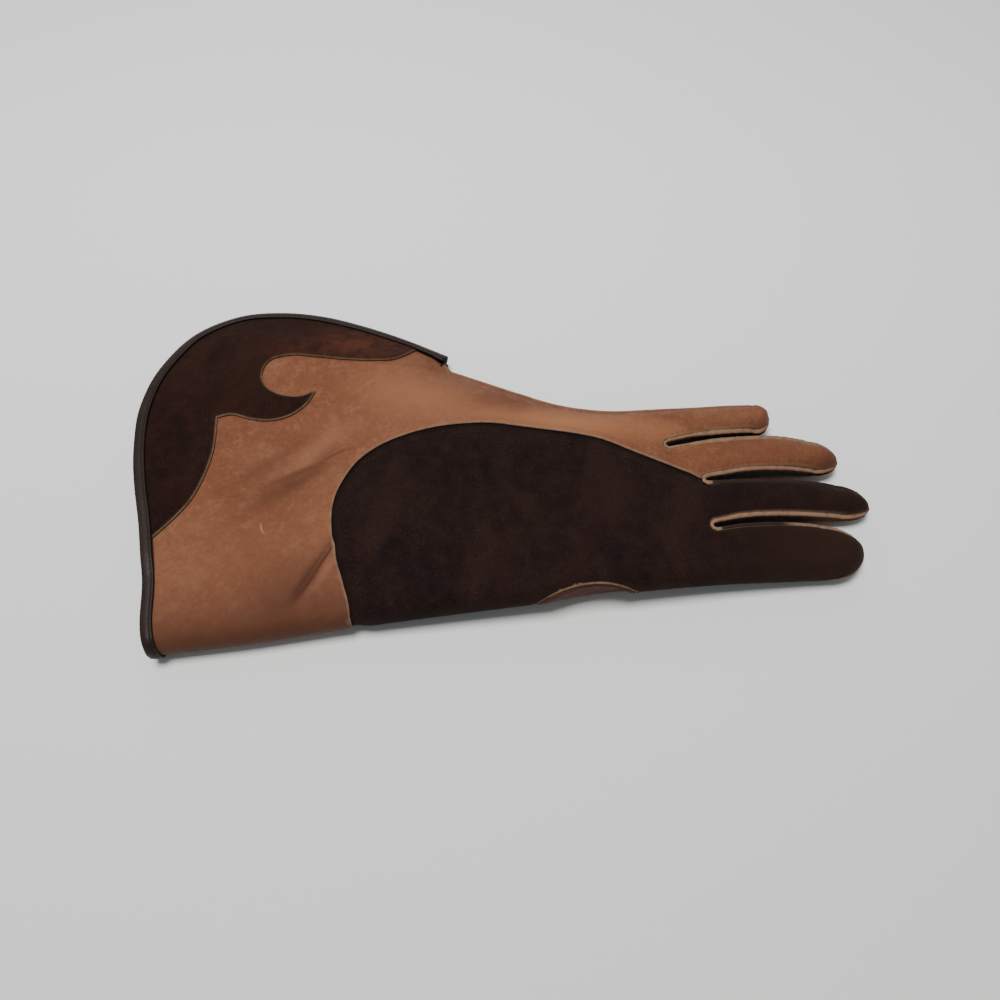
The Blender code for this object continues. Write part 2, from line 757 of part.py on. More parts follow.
def swept(name, rings, slot):
    """A solid through rings of equal length, with flat ends."""
    rings = np.array(rings)
    count, around = rings.shape[:2]
    faces = []
    for i in range(count - 1):
        for k in range(around):
            a, b = i * around + k, i * around + (k + 1) % around
            faces.append((a, b, b + around, a + around))
    faces.append(tuple(range(around))[::-1])
    faces.append(tuple(range((count - 1) * around, count * around)))
    return add_object(name, rings.reshape(-1, 3), faces, slot)


def build_binding():
    """The strip folded over the mouth's edge, from the end of the open side, round the fold and back."""
    chain = mouth_chain()
    pattern = np.vstack([chain[::-1], chain[1:] * (1, -1)])
    ahead = np.gradient(pattern, axis=0)
    ahead /= np.linalg.norm(ahead, axis=1)[:, None]
    inward = np.column_stack([ahead[:, 1] * -1, ahead[:, 0]])
    here = folded(pattern)
    inner = folded(pattern + inward * BINDING_LEG)
    along = folded(pattern + ahead * 0.6)
    to_edge = here - inner
    to_edge /= np.linalg.norm(to_edge, axis=1)[:, None]
    tangent = along - here
    normal = np.cross(to_edge, tangent)
    normal /= np.linalg.norm(normal, axis=1)[:, None]
    overlay = overlay_share(pattern)
    rings = []
    for p, e, n, share in zip(here, to_edge, normal, overlay):
        high = BINDING_GAP + share * (SUEDE + GAP)
        low = -TAN - BINDING_GAP
        b, g = BINDING, BINDING_GAP
        profile = (
            (-BINDING_LEG, high),
            (-BINDING_LEG, high + b),
            (g - 0.2, high + b),
            (g + b, (high + low) / 2),
            (g - 0.2, low - b),
            (-BINDING_LEG, low - b),
            (-BINDING_LEG, low),
            (g, low),
            (g, high),
        )
        rings.append([p + e * s + n * t for s, t in profile])
    return swept("cuff_binding", rings, "binding_leather")


def overlay_share(pattern):
    """1 where the binding runs over the cuff's suede, 0 where it lies on the tan leather."""
    start = SCROLL[0][0]
    start_v = unfolded(np.array([[start.x, start.y]]))[0, 1]
    return np.clip((pattern[:, 1] - start_v + BINDING_CLIMB_END) / BINDING_CLIMB, 0, 1)


def build_side_wall(lower, upper):
    """The strip sewn between two fingers, standing along one, round the gap's bottom and along the other."""
    end_x = {f.name: f.stations[-1].x - 2.0 for f in (lower, upper)}
    start = lower.crotch

    def line(finger, side):
        points = side_line(finger, side, 0, start)
        return points[points[:, 0] <= end_x[finger.name]]

    upper_line, lower_line = line(upper, "near")[::-1], line(lower, "far")
    bottom = crotch_line(lower, upper, 0)
    path = refolded(sewn_chain([(upper_line, 0.9), (bottom, 0.3), (lower_line, 0.9)]))
    ahead = np.gradient(path, axis=0)
    ahead /= np.linalg.norm(ahead, axis=1)[:, None]
    away = np.column_stack([ahead[:, 1], -ahead[:, 0]])
    turning = path[:, 0] <= start + 0.1
    half = side_half_height(path[:, 0], lower, start)
    on_upper = (np.arange(len(path)) < np.argmin(path[:, 0])) & ~turning
    half = np.where(on_upper, side_half_height(path[:, 0], upper, start), half)
    middle = middle_height(path[:, 0])
    rings = []
    for p, a, m, h in zip(path, away, middle, half):
        q = p + a * SIDE_WALL
        top, bottom_z = m + h + SIDE_LIP, m - h - SIDE_LIP
        rings.append([(*p, bottom_z), (*p, top), (*q, top), (*q, bottom_z)])
    return swept(f"side_wall_{lower.name}_{upper.name}", rings, "tan_leather")


def thumb_section(row):
    """One section of the thumb, from the middle of its top over the near side to its underside."""
    angle = np.linspace(0, 2 * math.pi, THUMB_ROUND, endpoint=False)
    side, up = np.sin(angle), np.cos(angle)
    across = np.sign(side) * np.abs(side) ** THUMB_SQUARENESS * (row.far - row.near) / 2
    height = np.sign(up) * np.abs(up) ** THUMB_SQUARENESS * (row.top - row.bottom) / 2
    y = (row.near + row.far) / 2 - across
    z = (row.top + row.bottom) / 2 + height
    return np.column_stack([np.full(THUMB_ROUND, row.x), y, z])


def surface_and_normal(pattern):
    here = folded(pattern)
    along = folded(pattern + (0.3, 0.0)) - folded(pattern - (0.3, 0.0))
    round_fold = folded(pattern + (0.0, 0.3)) - folded(pattern - (0.0, 0.3))
    normal = np.cross(along, round_fold)
    return here, normal / np.linalg.norm(normal, axis=1)[:, None]


def build_thumb():
    """The thumb: it comes out of its opening, turns under the palm and runs flat towards the fingers."""
    opening, outward = surface_and_normal(thumb_hole(-THUMB_CLEARANCE))
    rings = [opening + outward * d for d in (-SUEDE, 0.3)]
    start, end = rings[-1], thumb_section(THUMB[0])
    bend = start + (end - start) * 0.35
    bend[:, 2] = start[:, 2] * THUMB_HANG
    for t in THUMB_STAGES:
        rings.append(start * (1 - t) ** 2 + bend * 2 * t * (1 - t) + end * t**2)
    rings += [thumb_section(row) for row in THUMB]
    points = np.vstack([*rings, [THUMB_TIP]])
    faces = []
    for i in range(len(rings) - 1):
        for k in range(THUMB_ROUND):
            a, b = i * THUMB_ROUND + k, i * THUMB_ROUND + (k + 1) % THUMB_ROUND
            faces += [(a, b, b + THUMB_ROUND), (a, b + THUMB_ROUND, a + THUMB_ROUND)]
    last = (len(rings) - 1) * THUMB_ROUND
    tip = len(points) - 1
    faces += [(last + k, last + (k + 1) % THUMB_ROUND, tip) for k in range(THUMB_ROUND)]
    return leather_wall("thumb", points, np.array(faces), "thumb_leather", -THUMB_WALL, 0)


def main():
    for old in list(bpy.data.objects):
        bpy.data.objects.remove(old)
    build_body()
    build_hand_suede()
    build_cuff_overlay()
    build_binding()
    for lower, upper in ((RING, LITTLE), (MIDDLE, RING), (INDEX, MIDDLE)):
        build_side_wall(lower, upper)
    build_thumb()


main()
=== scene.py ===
# %% [markdown]
# # A falconry glove in tan leather and dark suede
#
# The glove lies palm down, as a hawking glove does on a table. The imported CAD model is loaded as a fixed
# frame of plain solids. Each leather piece here is made again in fine detail in the place of its solid:
# cut from one flat pattern, bent round the fold at the index-finger side, and given a thickness, a raw
# edge, creases, stitches and a surface.

# %% Load the frame
import math
from collections import namedtuple

import bpy
import numpy as np
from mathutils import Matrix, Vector
from mathutils.geometry import delaunay_2d_cdt


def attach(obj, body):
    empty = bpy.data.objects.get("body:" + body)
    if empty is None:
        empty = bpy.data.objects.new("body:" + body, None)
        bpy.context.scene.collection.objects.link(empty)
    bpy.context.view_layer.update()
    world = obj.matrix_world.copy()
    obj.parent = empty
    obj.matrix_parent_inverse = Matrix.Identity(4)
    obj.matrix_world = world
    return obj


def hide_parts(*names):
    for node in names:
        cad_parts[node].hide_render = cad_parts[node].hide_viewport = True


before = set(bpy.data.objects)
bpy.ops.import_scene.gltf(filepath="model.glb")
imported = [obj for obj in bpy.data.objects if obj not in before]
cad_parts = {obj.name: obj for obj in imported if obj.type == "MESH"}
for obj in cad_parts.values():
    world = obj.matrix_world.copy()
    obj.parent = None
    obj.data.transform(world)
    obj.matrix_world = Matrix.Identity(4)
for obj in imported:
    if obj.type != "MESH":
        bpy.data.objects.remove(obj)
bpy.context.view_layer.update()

# %% [markdown]
# ## The drawing's frame
#
# All sizes below are millimetres on the pattern maker's drawing, because leather is cut and sewn in
# millimetres. The drawing's origin isn't the middle of the finished glove, so two numbers move every
# finished piece into the frame's own place, and the scale to metres comes last of all.

# %% Place and scale of the drawing
MM = 0.001
CENTRE_X = 1.8
CENTRE_Y = -17.9


def placed(points):
    """Points of the drawing as metres in the frame."""
    return (np.asarray(points, float) + (CENTRE_X, CENTRE_Y, 0)) * MM


print("the drawing's origin lies at", placed([(0, 0, 0)])[0])

# %% [markdown]
# ## Trees of nodes
#
# Every surface is a tree of nodes, so it holds at any distance and needs no picture. A few short functions
# keep the trees readable: one makes a noise, one stretches values, one mixes colours.

# %% Small helpers for node trees
def new_paint(name, **uniform):
    """A material with its shader; the numbers given are the same all over the surface."""
    paint = bpy.data.materials.new(name)
    paint.use_nodes = True
    shader = paint.node_tree.nodes["Principled BSDF"]
    for socket, value in uniform.items():
        shader.inputs[socket.replace("_", " ")].default_value = value
    return paint, paint.node_tree, shader


def add(tree, kind, links=(), **settings):
    """Adds a node, sets its properties and sockets, and links the named sockets."""
    node = tree.nodes.new(kind)
    for key, value in settings.items():
        if hasattr(node, key):
            setattr(node, key, value)
        else:
            node.inputs[key.replace("_", " ")].default_value = value
    for socket, source in dict(links).items():
        tree.links.new(source, node.inputs[socket])
    return node


def noise(tree, vector, scale, detail=3.0, roughness=0.6, distortion=0.0):
    made = add(tree, "ShaderNodeTexNoise", {"Vector": vector}, Scale=scale, Detail=detail)
    made.inputs["Roughness"].default_value = roughness
    made.inputs["Distortion"].default_value = distortion
    return made.outputs["Fac"]


def between(tree, value, low, high, to_low=0.0, to_high=1.0):
    """Stretches the values from low to high over a new range, and holds them there."""
    made = add(tree, "ShaderNodeMapRange", {"Value": value})
    for socket, number in zip(("From Min", "From Max", "To Min", "To Max"), (low, high, to_low, to_high)):
        made.inputs[socket].default_value = number
    return made.outputs["Result"]


def mixed(tree, share, first, second):
    """A colour between two, which are colours or the outputs of nodes."""
    made = add(tree, "ShaderNodeMix", data_type="RGBA")
    for place, source in ((0, share), (6, first), (7, second)):
        if isinstance(source, bpy.types.NodeSocket):
            tree.links.new(source, made.inputs[place])
        else:
            made.inputs[place].default_value = source if place == 0 else (*source, 1)
    return made.outputs[2]


def product(tree, first, second):
    made = add(tree, "ShaderNodeMath", operation="MULTIPLY")
    for place, source in enumerate((first, second)):
        if isinstance(source, bpy.types.NodeSocket):
            tree.links.new(source, made.inputs[place])
        else:
            made.inputs[place].default_value = source
    return made.outputs[0]


def fact(tree, name):
    return add(tree, "ShaderNodeAttribute", attribute_name=name).outputs["Fac"]


def toned(tree, colour, tones):
    """Lays tones over a colour in turn, each as a value runs from low to high, up to the most it may show."""
    for value, low, high, most, tone in tones:
        colour = mixed(tree, between(tree, value, low, high, 0, most), colour, tone)
    return colour


def marked(tree, colour, marks):
    """Lays ovals over a colour, some of wear and some of painted shade and highlight, placed in millimetres
    on the flat pattern, fading to their rims.
    """
    pattern = add(tree, "ShaderNodeUVMap", uv_map="pattern").outputs["UV"]
    for x, v, long, wide, turn, strength, tone in marks:
        mapping = add(tree, "ShaderNodeMapping", {"Vector": pattern}, vector_type="TEXTURE")
        mapping.inputs["Location"].default_value = (x * MM, v * MM, 0)
        mapping.inputs["Rotation"].default_value = (0, 0, math.radians(turn))
        mapping.inputs["Scale"].default_value = (long * MM, wide * MM, 1)
        oval = add(tree, "ShaderNodeTexGradient", {"Vector": mapping.outputs[0]}, gradient_type="SPHERICAL")
        colour = mixed(tree, product(tree, oval.outputs["Fac"], strength), colour, tone)
    return colour


def bumped(tree, shader, steps):
    """Chains bumps, each a height and how many millimetres it stands, and gives them to the shader."""
    normal = None
    for height, depth in steps:
        bump = add(tree, "ShaderNodeBump", {"Height": height}, Distance=depth * MM)
        if normal:
            tree.links.new(normal, bump.inputs["Normal"])
        normal = bump.outputs["Normal"]
    tree.links.new(normal, shader.inputs["Normal"])


print("helpers for", len(bpy.data.materials), "materials so far")

# %% [markdown]
# ## Camera, floor and light
#
# The camera stands before the fold and looks down at sixty degrees, from close by, so that the cuff and
# the fingers spread in perspective. The floor is plain and pale, with painted light that makes it darker
# towards the camera and brighter far away. One soft lamp hangs high over the glove, a little to the left,
# and a weak even sky fills in: the shadow then stays a narrow soft line under the near edge.

# %% Camera
CAMERA_DISTANCE = 440
CAMERA_ELEVATION = math.radians(60)
LENS = 28

target = Vector(placed([(0, 0, 0)])[0])
lens_data = bpy.data.cameras.new("camera")
lens_data.lens = LENS
lens_data.sensor_width = 36
lens_data.clip_start = 0.01
camera = bpy.data.objects.new("camera", lens_data)
away = Vector((0, -math.cos(CAMERA_ELEVATION), math.sin(CAMERA_ELEVATION)))
camera.location = target + away * CAMERA_DISTANCE * MM
camera.rotation_euler = (-away).to_track_quat("-Z", "Y").to_euler()
bpy.context.scene.collection.objects.link(camera)
bpy.context.scene.camera = camera
print("camera at", tuple(round(c, 3) for c in camera.location))

# %% Floor
FLOOR_HALF = 3.0
FLOOR_DROP = 0.0002
# The floor's colours near the camera and far away, and where along y the one fades into the other: a painted
# fall-off of light, darker near the camera.
FLOOR_NEAR = (0.68, 0.70, 0.68)
FLOOR_FAR = (0.88, 0.90, 0.90)
FLOOR_FADE = (-0.30, 0.34)

floor_mesh = bpy.data.meshes.new("floor")
square = ((-1, -1), (1, -1), (1, 1), (-1, 1))
corners = [(x * FLOOR_HALF, y * FLOOR_HALF, -FLOOR_DROP) for x, y in square]
floor_mesh.from_pydata(corners, [], [(0, 1, 2, 3)])
floor = bpy.data.objects.new("floor", floor_mesh)
bpy.context.scene.collection.objects.link(floor)
floor_paint, tree, shader = new_paint("pale_floor", Roughness=0.9, Specular_IOR_Level=0.2)
place = add(tree, "ShaderNodeTexCoord").outputs["Object"]
depth = add(tree, "ShaderNodeSeparateXYZ", {"Vector": place}).outputs["Y"]
fade = between(tree, depth, *FLOOR_FADE)
fade.node.interpolation_type = "SMOOTHSTEP"
tree.links.new(mixed(tree, fade, FLOOR_NEAR, FLOOR_FAR), shader.inputs["Base Color"])
floor_mesh.materials.append(floor_paint)
print("the floor lies", FLOOR_DROP / MM, "mm under the glove")

# %% Light
Lamp = namedtuple("Lamp", "name place size watts colour")
LAMPS = (
    Lamp("ceiling", (-0.20, -0.03, 1.4), 0.5, 25.0, (1.0, 0.99, 0.975)),
    Lamp("far_window", (-0.5, 1.6, 1.1), 0.9, 5.0, (1.0, 0.99, 0.98)),
)
SKY_STRENGTH = 0.30

for lamp in LAMPS:
    data = bpy.data.lights.new(lamp.name, "AREA")
    data.size = lamp.size
    data.energy = lamp.watts
    data.color = lamp.colour
    light = bpy.data.objects.new(lamp.name, data)
    light.location = lamp.place
    light.rotation_euler = (-Vector(lamp.place)).to_track_quat("-Z", "Y").to_euler()
    bpy.context.scene.collection.objects.link(light)
world = bpy.data.worlds.new("soft_room")
world.use_nodes = True
sky = world.node_tree.nodes["Background"]
sky.inputs["Color"].default_value = (0.97, 0.985, 1.0, 1)
sky.inputs["Strength"].default_value = SKY_STRENGTH
bpy.context.scene.world = world
print(len(LAMPS), "lamps and a soft sky")

# %% [markdown]
# ## The pattern maker's numbers
#
# The shape of a lying glove is told by a few short tables: sections across it, the rims of the mouth and
# of the seam, and stations along each finger. The solids were made from the same numbers, so every fine
# piece stands where its solid stands. Only the fold over the hand lies 1 to 2 mm further out here, and the
# thumb's opening is a little longer.

# %% Thicknesses and the fold
# Leather thicknesses and the small air gap left between two pieces that are sewn face to face.
TAN = 1.4
SUEDE = 1.4
BINDING = 1.0
SIDE_WALL = 1.2
THUMB_WALL = 1.2

# The fold along the index-finger side: its reach in plan, and the leather's length round a quarter.
FOLD_REACH = 8.0
FOLD_ARC = 12.0

# Half the height of two leathers pinched together in a seam, and the seam's free edge.
PINCHED = TAN + 0.2
SEAM_FLANGE = 2.2
# The flaps of a finger stop short of its outline, where the side walls between the fingers stand.
FLAP_INSET = SIDE_WALL + 0.4
# How high the side walls between the fingers stand, as a share of the finger's height.
SIDE_SHARE = 0.72
print("tan leather", TAN, "mm thick")

# %% Sections, mouth and seam
# Sections across the glove. near is the fold's outer face, top and bottom the leather's outer faces.
Section = namedtuple("Section", "x near top bottom")
SECTIONS = tuple(Section(*row) for row in (
    (-215, -101.6, 20.6, 1.6),
    (-172, -94.7, 20.8, 1.6),
    (-126, -88.7, 21.2, 1.2),
    (-76, -80.8, 22.2, 3.0),
    (-25, -74.6, 24.0, 6.0),
    (20, -69.5, 25.4, 8.8),
    (72, -62.8, 25.2, 8.8),
    (112, -58.4, 23.0, 7.4),
    (150, -55.0, 20.6, 3.2),
    (192, -52.0, 15.6, 1.0),
))

# The cuff's mouth, from the fold round the big free curve to the end of the open side.
# reach is how far from the edge the leather takes to come to the section's own height.
Rim = namedtuple("Rim", "x y top bottom reach")
MOUTH = tuple(Rim(*row) for row in (
    (-175.9, -82, 19.4, 1.6, 30),
    (-179.2, -62, 19.8, 1.6, 30),
    (-187.2, -31, 20.2, 1.6, 30),
    (-199.7, 10, 20.8, 1.6, 34),
    (-205.2, 49.5, 21.2, 1.6, 44),
    (-200.7, 80.4, 17.0, 1.6, 54),
    (-185.4, 112.0, 11.6, 1.6, 60),
    (-162.2, 127.8, 8.4, 1.6, 60),
    (-138.0, 130.4, 8.1, 1.6, 60),
    (-112.4, 127.2, 8.1, 1.6, 58),
    (-84.6, 118.4, 8.1, 1.6, 54),
    (-58.7, 107.4, 8.2, 1.6, 48),
    (-38.0, 96.7, 8.6, 1.6, 42),
))
MOUTH_FOLD_X = -172.2

# The outer seam from the end of the open side to the little finger.
SEAM = tuple(Rim(*row) for row in (
    (-30.6, 86.2, 8.8, 5.2, 34),
    (-11.5, 77.6, 9.8, 6.6, 32),
    (12.0, 66.2, 12.2, 9.0, 28),
    (34.0, 56.2, 14.6, 11.4, 24),
    (60.0, 51.0, 15.8, 12.6, 18),
))
print(len(SECTIONS), "sections")

# %% Fingers
# Fingers, with their outlines at stations along x and the point of the tip. crotch is the bottom of the
# gap on the finger's far side.
Station = namedtuple("Station", "x near far")
Finger = namedtuple("Finger", "name tip_x tip_y crotch stations")


def finger(name, tip_x, tip_y, crotch, *stations):
    return Finger(name, tip_x, tip_y, crotch, tuple(Station(*row) for row in stations))


INDEX = finger(
    "index", 193.6, -36.0, 114.0,
    (100, -59.4, -31.6), (130, -56.8, -25.4), (152, -54.8, -23.4), (172, -53.4, -22.6),
)
MIDDLE = finger(
    "middle", 203.2, -9.0, 113.0,
    (100, -29.2, -1.4), (130, -21.0, 1.6), (151, -18.8, 2.8), (172, -17.8, 3.6), (186, -17.2, 3.2),
)
RING = finger(
    "ring", 191.6, 20.4, 94.0,
    (84, -2.0, 19.6), (113, 3.2, 26.4), (137, 8.6, 30.4), (158, 10.8, 32.6), (176, 11.2, 32.0),
)
LITTLE = finger(
    "little", 156.8, 49.4, None,
    (84, 22.0, 49.9), (114, 31.0, 52.8), (135, 35.0, 55.6), (146, 37.0, 56.6),
)
print("longest finger's tip at", MIDDLE.tip_x)

# %% [markdown]
# ## Dents, creases and the hide's own unevenness
#
# The first rows are the big soft dents that the solids have too. The others are too fine for the solids:
# the sharp fold across the wrist with a rise beside it, small puckers, and creases at the bottoms of the
# gaps. Long slow waves with a fixed seed keep the hide from looking pressed from a machine.

# %% Creases
Crease = namedtuple("Crease", "x0 y0 x1 y1 height width")
CREASES = tuple(Crease(*row) for row in (
    (-84, -44, -130, -78, -1.2, 14),
    (-92, 14, -156, -16, -1.1, 16),
    (-24, 62, 26, 44, -0.9, 15),
    (-82, -27, -107, -76, -2.5, 2.2),
    (-76, -31, -100, -78, 1.6, 4.0),
    (-86, 26, -106, 6, -1.2, 3.0),
    (-82, 17, -134, -14, -1.1, 4.5),
    (-94, 20, -150, -10, 0.9, 5.0),
    (-141, -2.2, -112, 14.7, -0.7, 3.4),
    (-54.5, 91.6, -107.3, 61.2, -0.4, 1.6),
    (-20, 44, 30, 38, 0.5, 7.0),
    (108, -33, 126, -42.5, -0.8, 2.4),
    (104, -34, 110, -54, -0.6, 2.6),
    (66, 14, 100, -9, 0.7, 4.0),
))
WAVE_SEED = 11
WAVE_COUNT = 9
WAVE_HEIGHT = 0.14
waves = np.random.default_rng(WAVE_SEED)
WAVES = np.column_stack([
    2 * math.pi / waves.uniform(26, 64, WAVE_COUNT), waves.uniform(0, math.pi, WAVE_COUNT),
    waves.uniform(0, 2 * math.pi, WAVE_COUNT),
])


def unevenness(x, y):
    """Long slow waves over the hide, a few tenths of a millimetre high."""
    waves = (np.sin(k * (x * math.cos(a) + y * math.sin(a)) + shift) for k, a, shift in WAVES)
    return sum(waves) * WAVE_HEIGHT


print(len(CREASES), "creases and", WAVE_COUNT, "waves")

# %% Edges on top of other leather
# The edge of the tan leather over the hand's suede, from the fold round to the gap beside the ring finger.
HAND_EDGE = (
    (-74.0, -79.2), (-74.8, -73.5), (-78.6, -62.0), (-84.4, -45.0), (-88.6, -26.0), (-88.4, -9.0),
    (-82.0, 6.5), (-67.0, 22.6), (-46.0, 31.8), (-14.0, 36.8), (22.0, 32.0), (56.0, 24.8),
    (84.0, 12.0), (109.4, 1.4),
)
HAND_EDGE_FOLD_X = -74.0
# How far from that edge the suede has come up level with the tan leather.
LEVEL_AFTER = 10.0

# The scroll that the cuff's suede is cut to, from the mouth's near side to its far side.
SCROLL = (
    (
        (-181.4, -35.7), (-172.4, -24.3), (-163.0, -6.9), (-159.0, 12.7), (-159.2, 26.7), (-160.6, 41.5),
    ),
    (
        (-160.6, 41.5), (-154.0, 43.3), (-141.4, 40.5), (-129.4, 39.9), (-118.4, 43.3), (-111.0, 50.7),
        (-106.8, 60.1),
    ),
    (
        (-106.8, 60.1), (-116.0, 56.3), (-126.4, 57.1), (-136.0, 63.5), (-140.4, 74.1), (-136.8, 84.3),
        (-127.4, 87.9), (-111.4, 87.3), (-91.4, 85.5), (-75.4, 84.5), (-63.4, 86.9), (-53.4, 97.7),
        (-50.0, 103.9),
    ),
)
print(len(SCROLL), "curves make the scroll")

# %% Thumb and binding
# The opening for the thumb, an oval on the flat pattern that reaches a little over the fold.
THUMB_HOLE_X = 43.9
THUMB_HOLE_V = -11.0
THUMB_HOLE_LONG = 29.7
THUMB_HOLE_WIDE = 18.6

# Sections of the thumb past its opening. It is tucked flat under the palm and points to the fingers.
ThumbSection = namedtuple("ThumbSection", "x near far top bottom")
THUMB = tuple(ThumbSection(*row) for row in (
    (77, -56.0, -13.0, 8.2, 0.0),
    (86, -52.4, -11.0, 8.0, 0.0),
    (95, -48.4, -10.4, 7.8, 0.0),
    (102, -44.6, -11.6, 7.2, 0.0),
    (107, -40.4, -14.2, 6.4, 0.3),
    (110.6, -35.0, -18.2, 5.2, 1.0),
))
THUMB_TIP = (112.0, -26.6, 3.2)
# Shares of the last section's size that two rings on the way to the tip have.
THUMB_TIP_SHARES = (0.45, 0.15)
THUMB_SQUARENESS = 0.55
# Shares of the way from the opening to the first section, and how far down the middle of the way hangs.
THUMB_STAGES = (0.22, 0.46, 0.72)
THUMB_HANG = 0.38

# Binding: its leg on each face, and where it climbs on to the cuff's suede.
BINDING_LEG = 5.2
BINDING_CLIMB = 12.0
BINDING_CLIMB_END = 22.0
print(len(THUMB), "sections of the thumb")

# %% [markdown]
# ## Curves and the two outer faces
#
# Smooth curves run through the tables. The glove's back and palm are two height fields over the plan:
# each takes the section's own height in the middle and is held down, or up, by the nearest edges, as real
# leather is by its seams. At the fold the two meet round a quarter of an ellipse each.

# %% Curves through tables
def smooth(at, knots, values):
    """A cubic curve through the knots, straight past both ends."""
    at = np.asarray(at, float)
    knots = np.asarray(knots, float)
    values = np.asarray(values, float)
    slopes = np.gradient(values, knots)
    i = np.clip(np.searchsorted(knots, at) - 1, 0, len(knots) - 2)
    width = knots[i + 1] - knots[i]
    t = (at - knots[i]) / width
    inside = np.clip(t, 0, 1)
    cube, square = inside**3, inside**2
    made = (
        values[i] * (2 * cube - 3 * square + 1)
        + slopes[i] * width * (cube - 2 * square + inside)
        + values[i + 1] * (3 * square - 2 * cube)
        + slopes[i + 1] * width * (cube - square)
    )
    end_slope = np.where(t < 0, slopes[i], slopes[i + 1])
    return made + (t - inside) * width * end_slope


def column(rows, name):
    return np.array([getattr(row, name) for row in rows], float)


def section(x, name):
    return smooth(x, column(SECTIONS, "x"), column(SECTIONS, name))


def middle_height(x):
    return (section(x, "top") + section(x, "bottom")) / 2


def curve_through(rows, step=1.5):
    """Samples a smooth curve through rows of numbers, whose first two are x and y."""
    rows = np.array(rows, float)
    chord = np.r_[0, np.cumsum(np.hypot(*np.diff(rows[:, :2], axis=0).T))]
    at = np.linspace(0, chord[-1], max(3, int(chord[-1] / step)))
    return np.column_stack([smooth(at, chord, rows[:, k]) for k in range(rows.shape[1])])


def quarter_ellipse(start, end, count=9):
    """From start, where it runs along x, to end, where it runs along y."""
    angle = np.linspace(0, math.pi / 2, count)
    x = start[0] + (end[0] - start[0]) * np.sin(angle)
    y = end[1] + (start[1] - end[1]) * np.cos(angle)
    return np.column_stack([x, y])


print("the back is", float(section(20, "top")), "mm high at the knuckles")

# %% Outlines of the fingers
def side_line(finger, side, inset, start_x, step=1.5):
    """The straight part of one side of a finger, from start_x to its last station."""
    x = np.arange(start_x, finger.stations[-1].x + 0.01, step)
    x = np.r_[x, finger.stations[-1].x] if finger.stations[-1].x - x[-1] > 0.1 else x
    y = smooth(x, column(finger.stations, "x"), column(finger.stations, side))
    return np.column_stack([x, y + (inset if side == "near" else -inset)])


def tip_line(finger, near_inset, far_inset):
    """Round the tip, from the far side to the near side."""
    last = finger.stations[-1]
    tip = (finger.tip_x - max(far_inset - FLAP_INSET, 0), finger.tip_y)
    far = quarter_ellipse((last.x, last.far - far_inset), tip)
    near = quarter_ellipse((last.x, last.near + near_inset), tip)
    return np.vstack([far[1:], near[::-1][1:-1]])


def crotch_line(lower, upper, inset, count=13):
    """Round the bottom of the gap between two fingers, from the upper finger to the lower one."""
    x = lower.crotch
    low = smooth(x, column(lower.stations, "x"), column(lower.stations, "far")) - inset
    high = smooth(x, column(upper.stations, "x"), column(upper.stations, "near")) + inset
    angle = np.linspace(math.pi / 2, -math.pi / 2, count)
    half = (high - low) / 2
    return np.column_stack([x - half * np.cos(angle), (low + high) / 2 + half * np.sin(angle)])


def side_half_height(x, finger, start_x):
    """Half the height of the wall beside a finger: full at the gap's bottom, pinched before the tip."""
    full = SIDE_SHARE * (section(x, "top") - section(x, "bottom")) / 2
    along = np.clip((x - start_x) / (finger.stations[-1].x - start_x), 0, 1)
    return PINCHED + (full - PINCHED) * np.sqrt(1 - along**2)


def with_heights(points, half, reach, flange, power):
    """Adds the edge's heights to plan points: x, y, top, bottom, reach, flange, power."""
    middle = middle_height(points[:, 0])
    ones = np.ones(len(points))
    return np.column_stack(
        [points, middle + half, middle - half, reach * ones, flange * ones, power * ones]
    )


def finger_edges(inset):
    """The edge of the back from the little finger's seam to the index fingertip, with its heights."""
    parts = []
    lowers = (RING, MIDDLE, INDEX)
    seam = side_line(LITTLE, "far", 0, 88)
    parts.append(with_heights(seam, PINCHED, np.linspace(15, 9, len(seam)), SEAM_FLANGE, 0.75))
    parts.append(with_heights(tip_line(LITTLE, inset, 0), PINCHED, 9, 0.6, 0.55))
    for upper, lower in zip((LITTLE, RING, MIDDLE), lowers):
        start = lower.crotch
        near = side_line(upper, "near", inset, start)[::-1]
        parts.append(with_heights(near, side_half_height(near[:, 0], upper, start), 10, 0, 0.8))
        bottom = crotch_line(lower, upper, inset)[1:-1]
        half = side_half_height(bottom[:, 0], lower, start)
        parts.append(with_heights(bottom, half, 10, 0, 0.9))
        far = side_line(lower, "far", inset, start)
        parts.append(with_heights(far, side_half_height(far[:, 0], lower, start), 10, 0, 0.8))
        near_inset = 0 if lower is INDEX else inset
        parts.append(with_heights(tip_line(lower, near_inset, inset), PINCHED, 9, 0.6, 0.55))
    return np.vstack(parts)


print("finger edge points", len(finger_edges(FLAP_INSET)))

# %% The whole edge of the back
def rim_rows(rows, flange):
    return [(r.x, r.y, r.top, r.bottom, r.reach, flange, 1.0) for r in rows]


def mouth_edge():
    """The mouth from the fold to the end of the open side. It crosses the fold at a right angle."""
    corner = (MOUTH_FOLD_X, section(MOUTH_FOLD_X, "near"), 19.2, 1.6, 30, 0, 1.0)
    return curve_through([corner] + rim_rows(MOUTH, 0))


def seam_edge():
    return curve_through(rim_rows(SEAM, SEAM_FLANGE) + [finger_edges(FLAP_INSET)[0]])


def outline_of_back():
    """The edge of the tan leather's back half, from the fold at the mouth to the fold at the index tip."""
    return np.vstack([mouth_edge(), seam_edge()[:-1], finger_edges(FLAP_INSET)])


EDGE = outline_of_back()
print("edge points", len(EDGE))

# %% Heights of the two faces
# Points handled in one go.
MANY = 4000


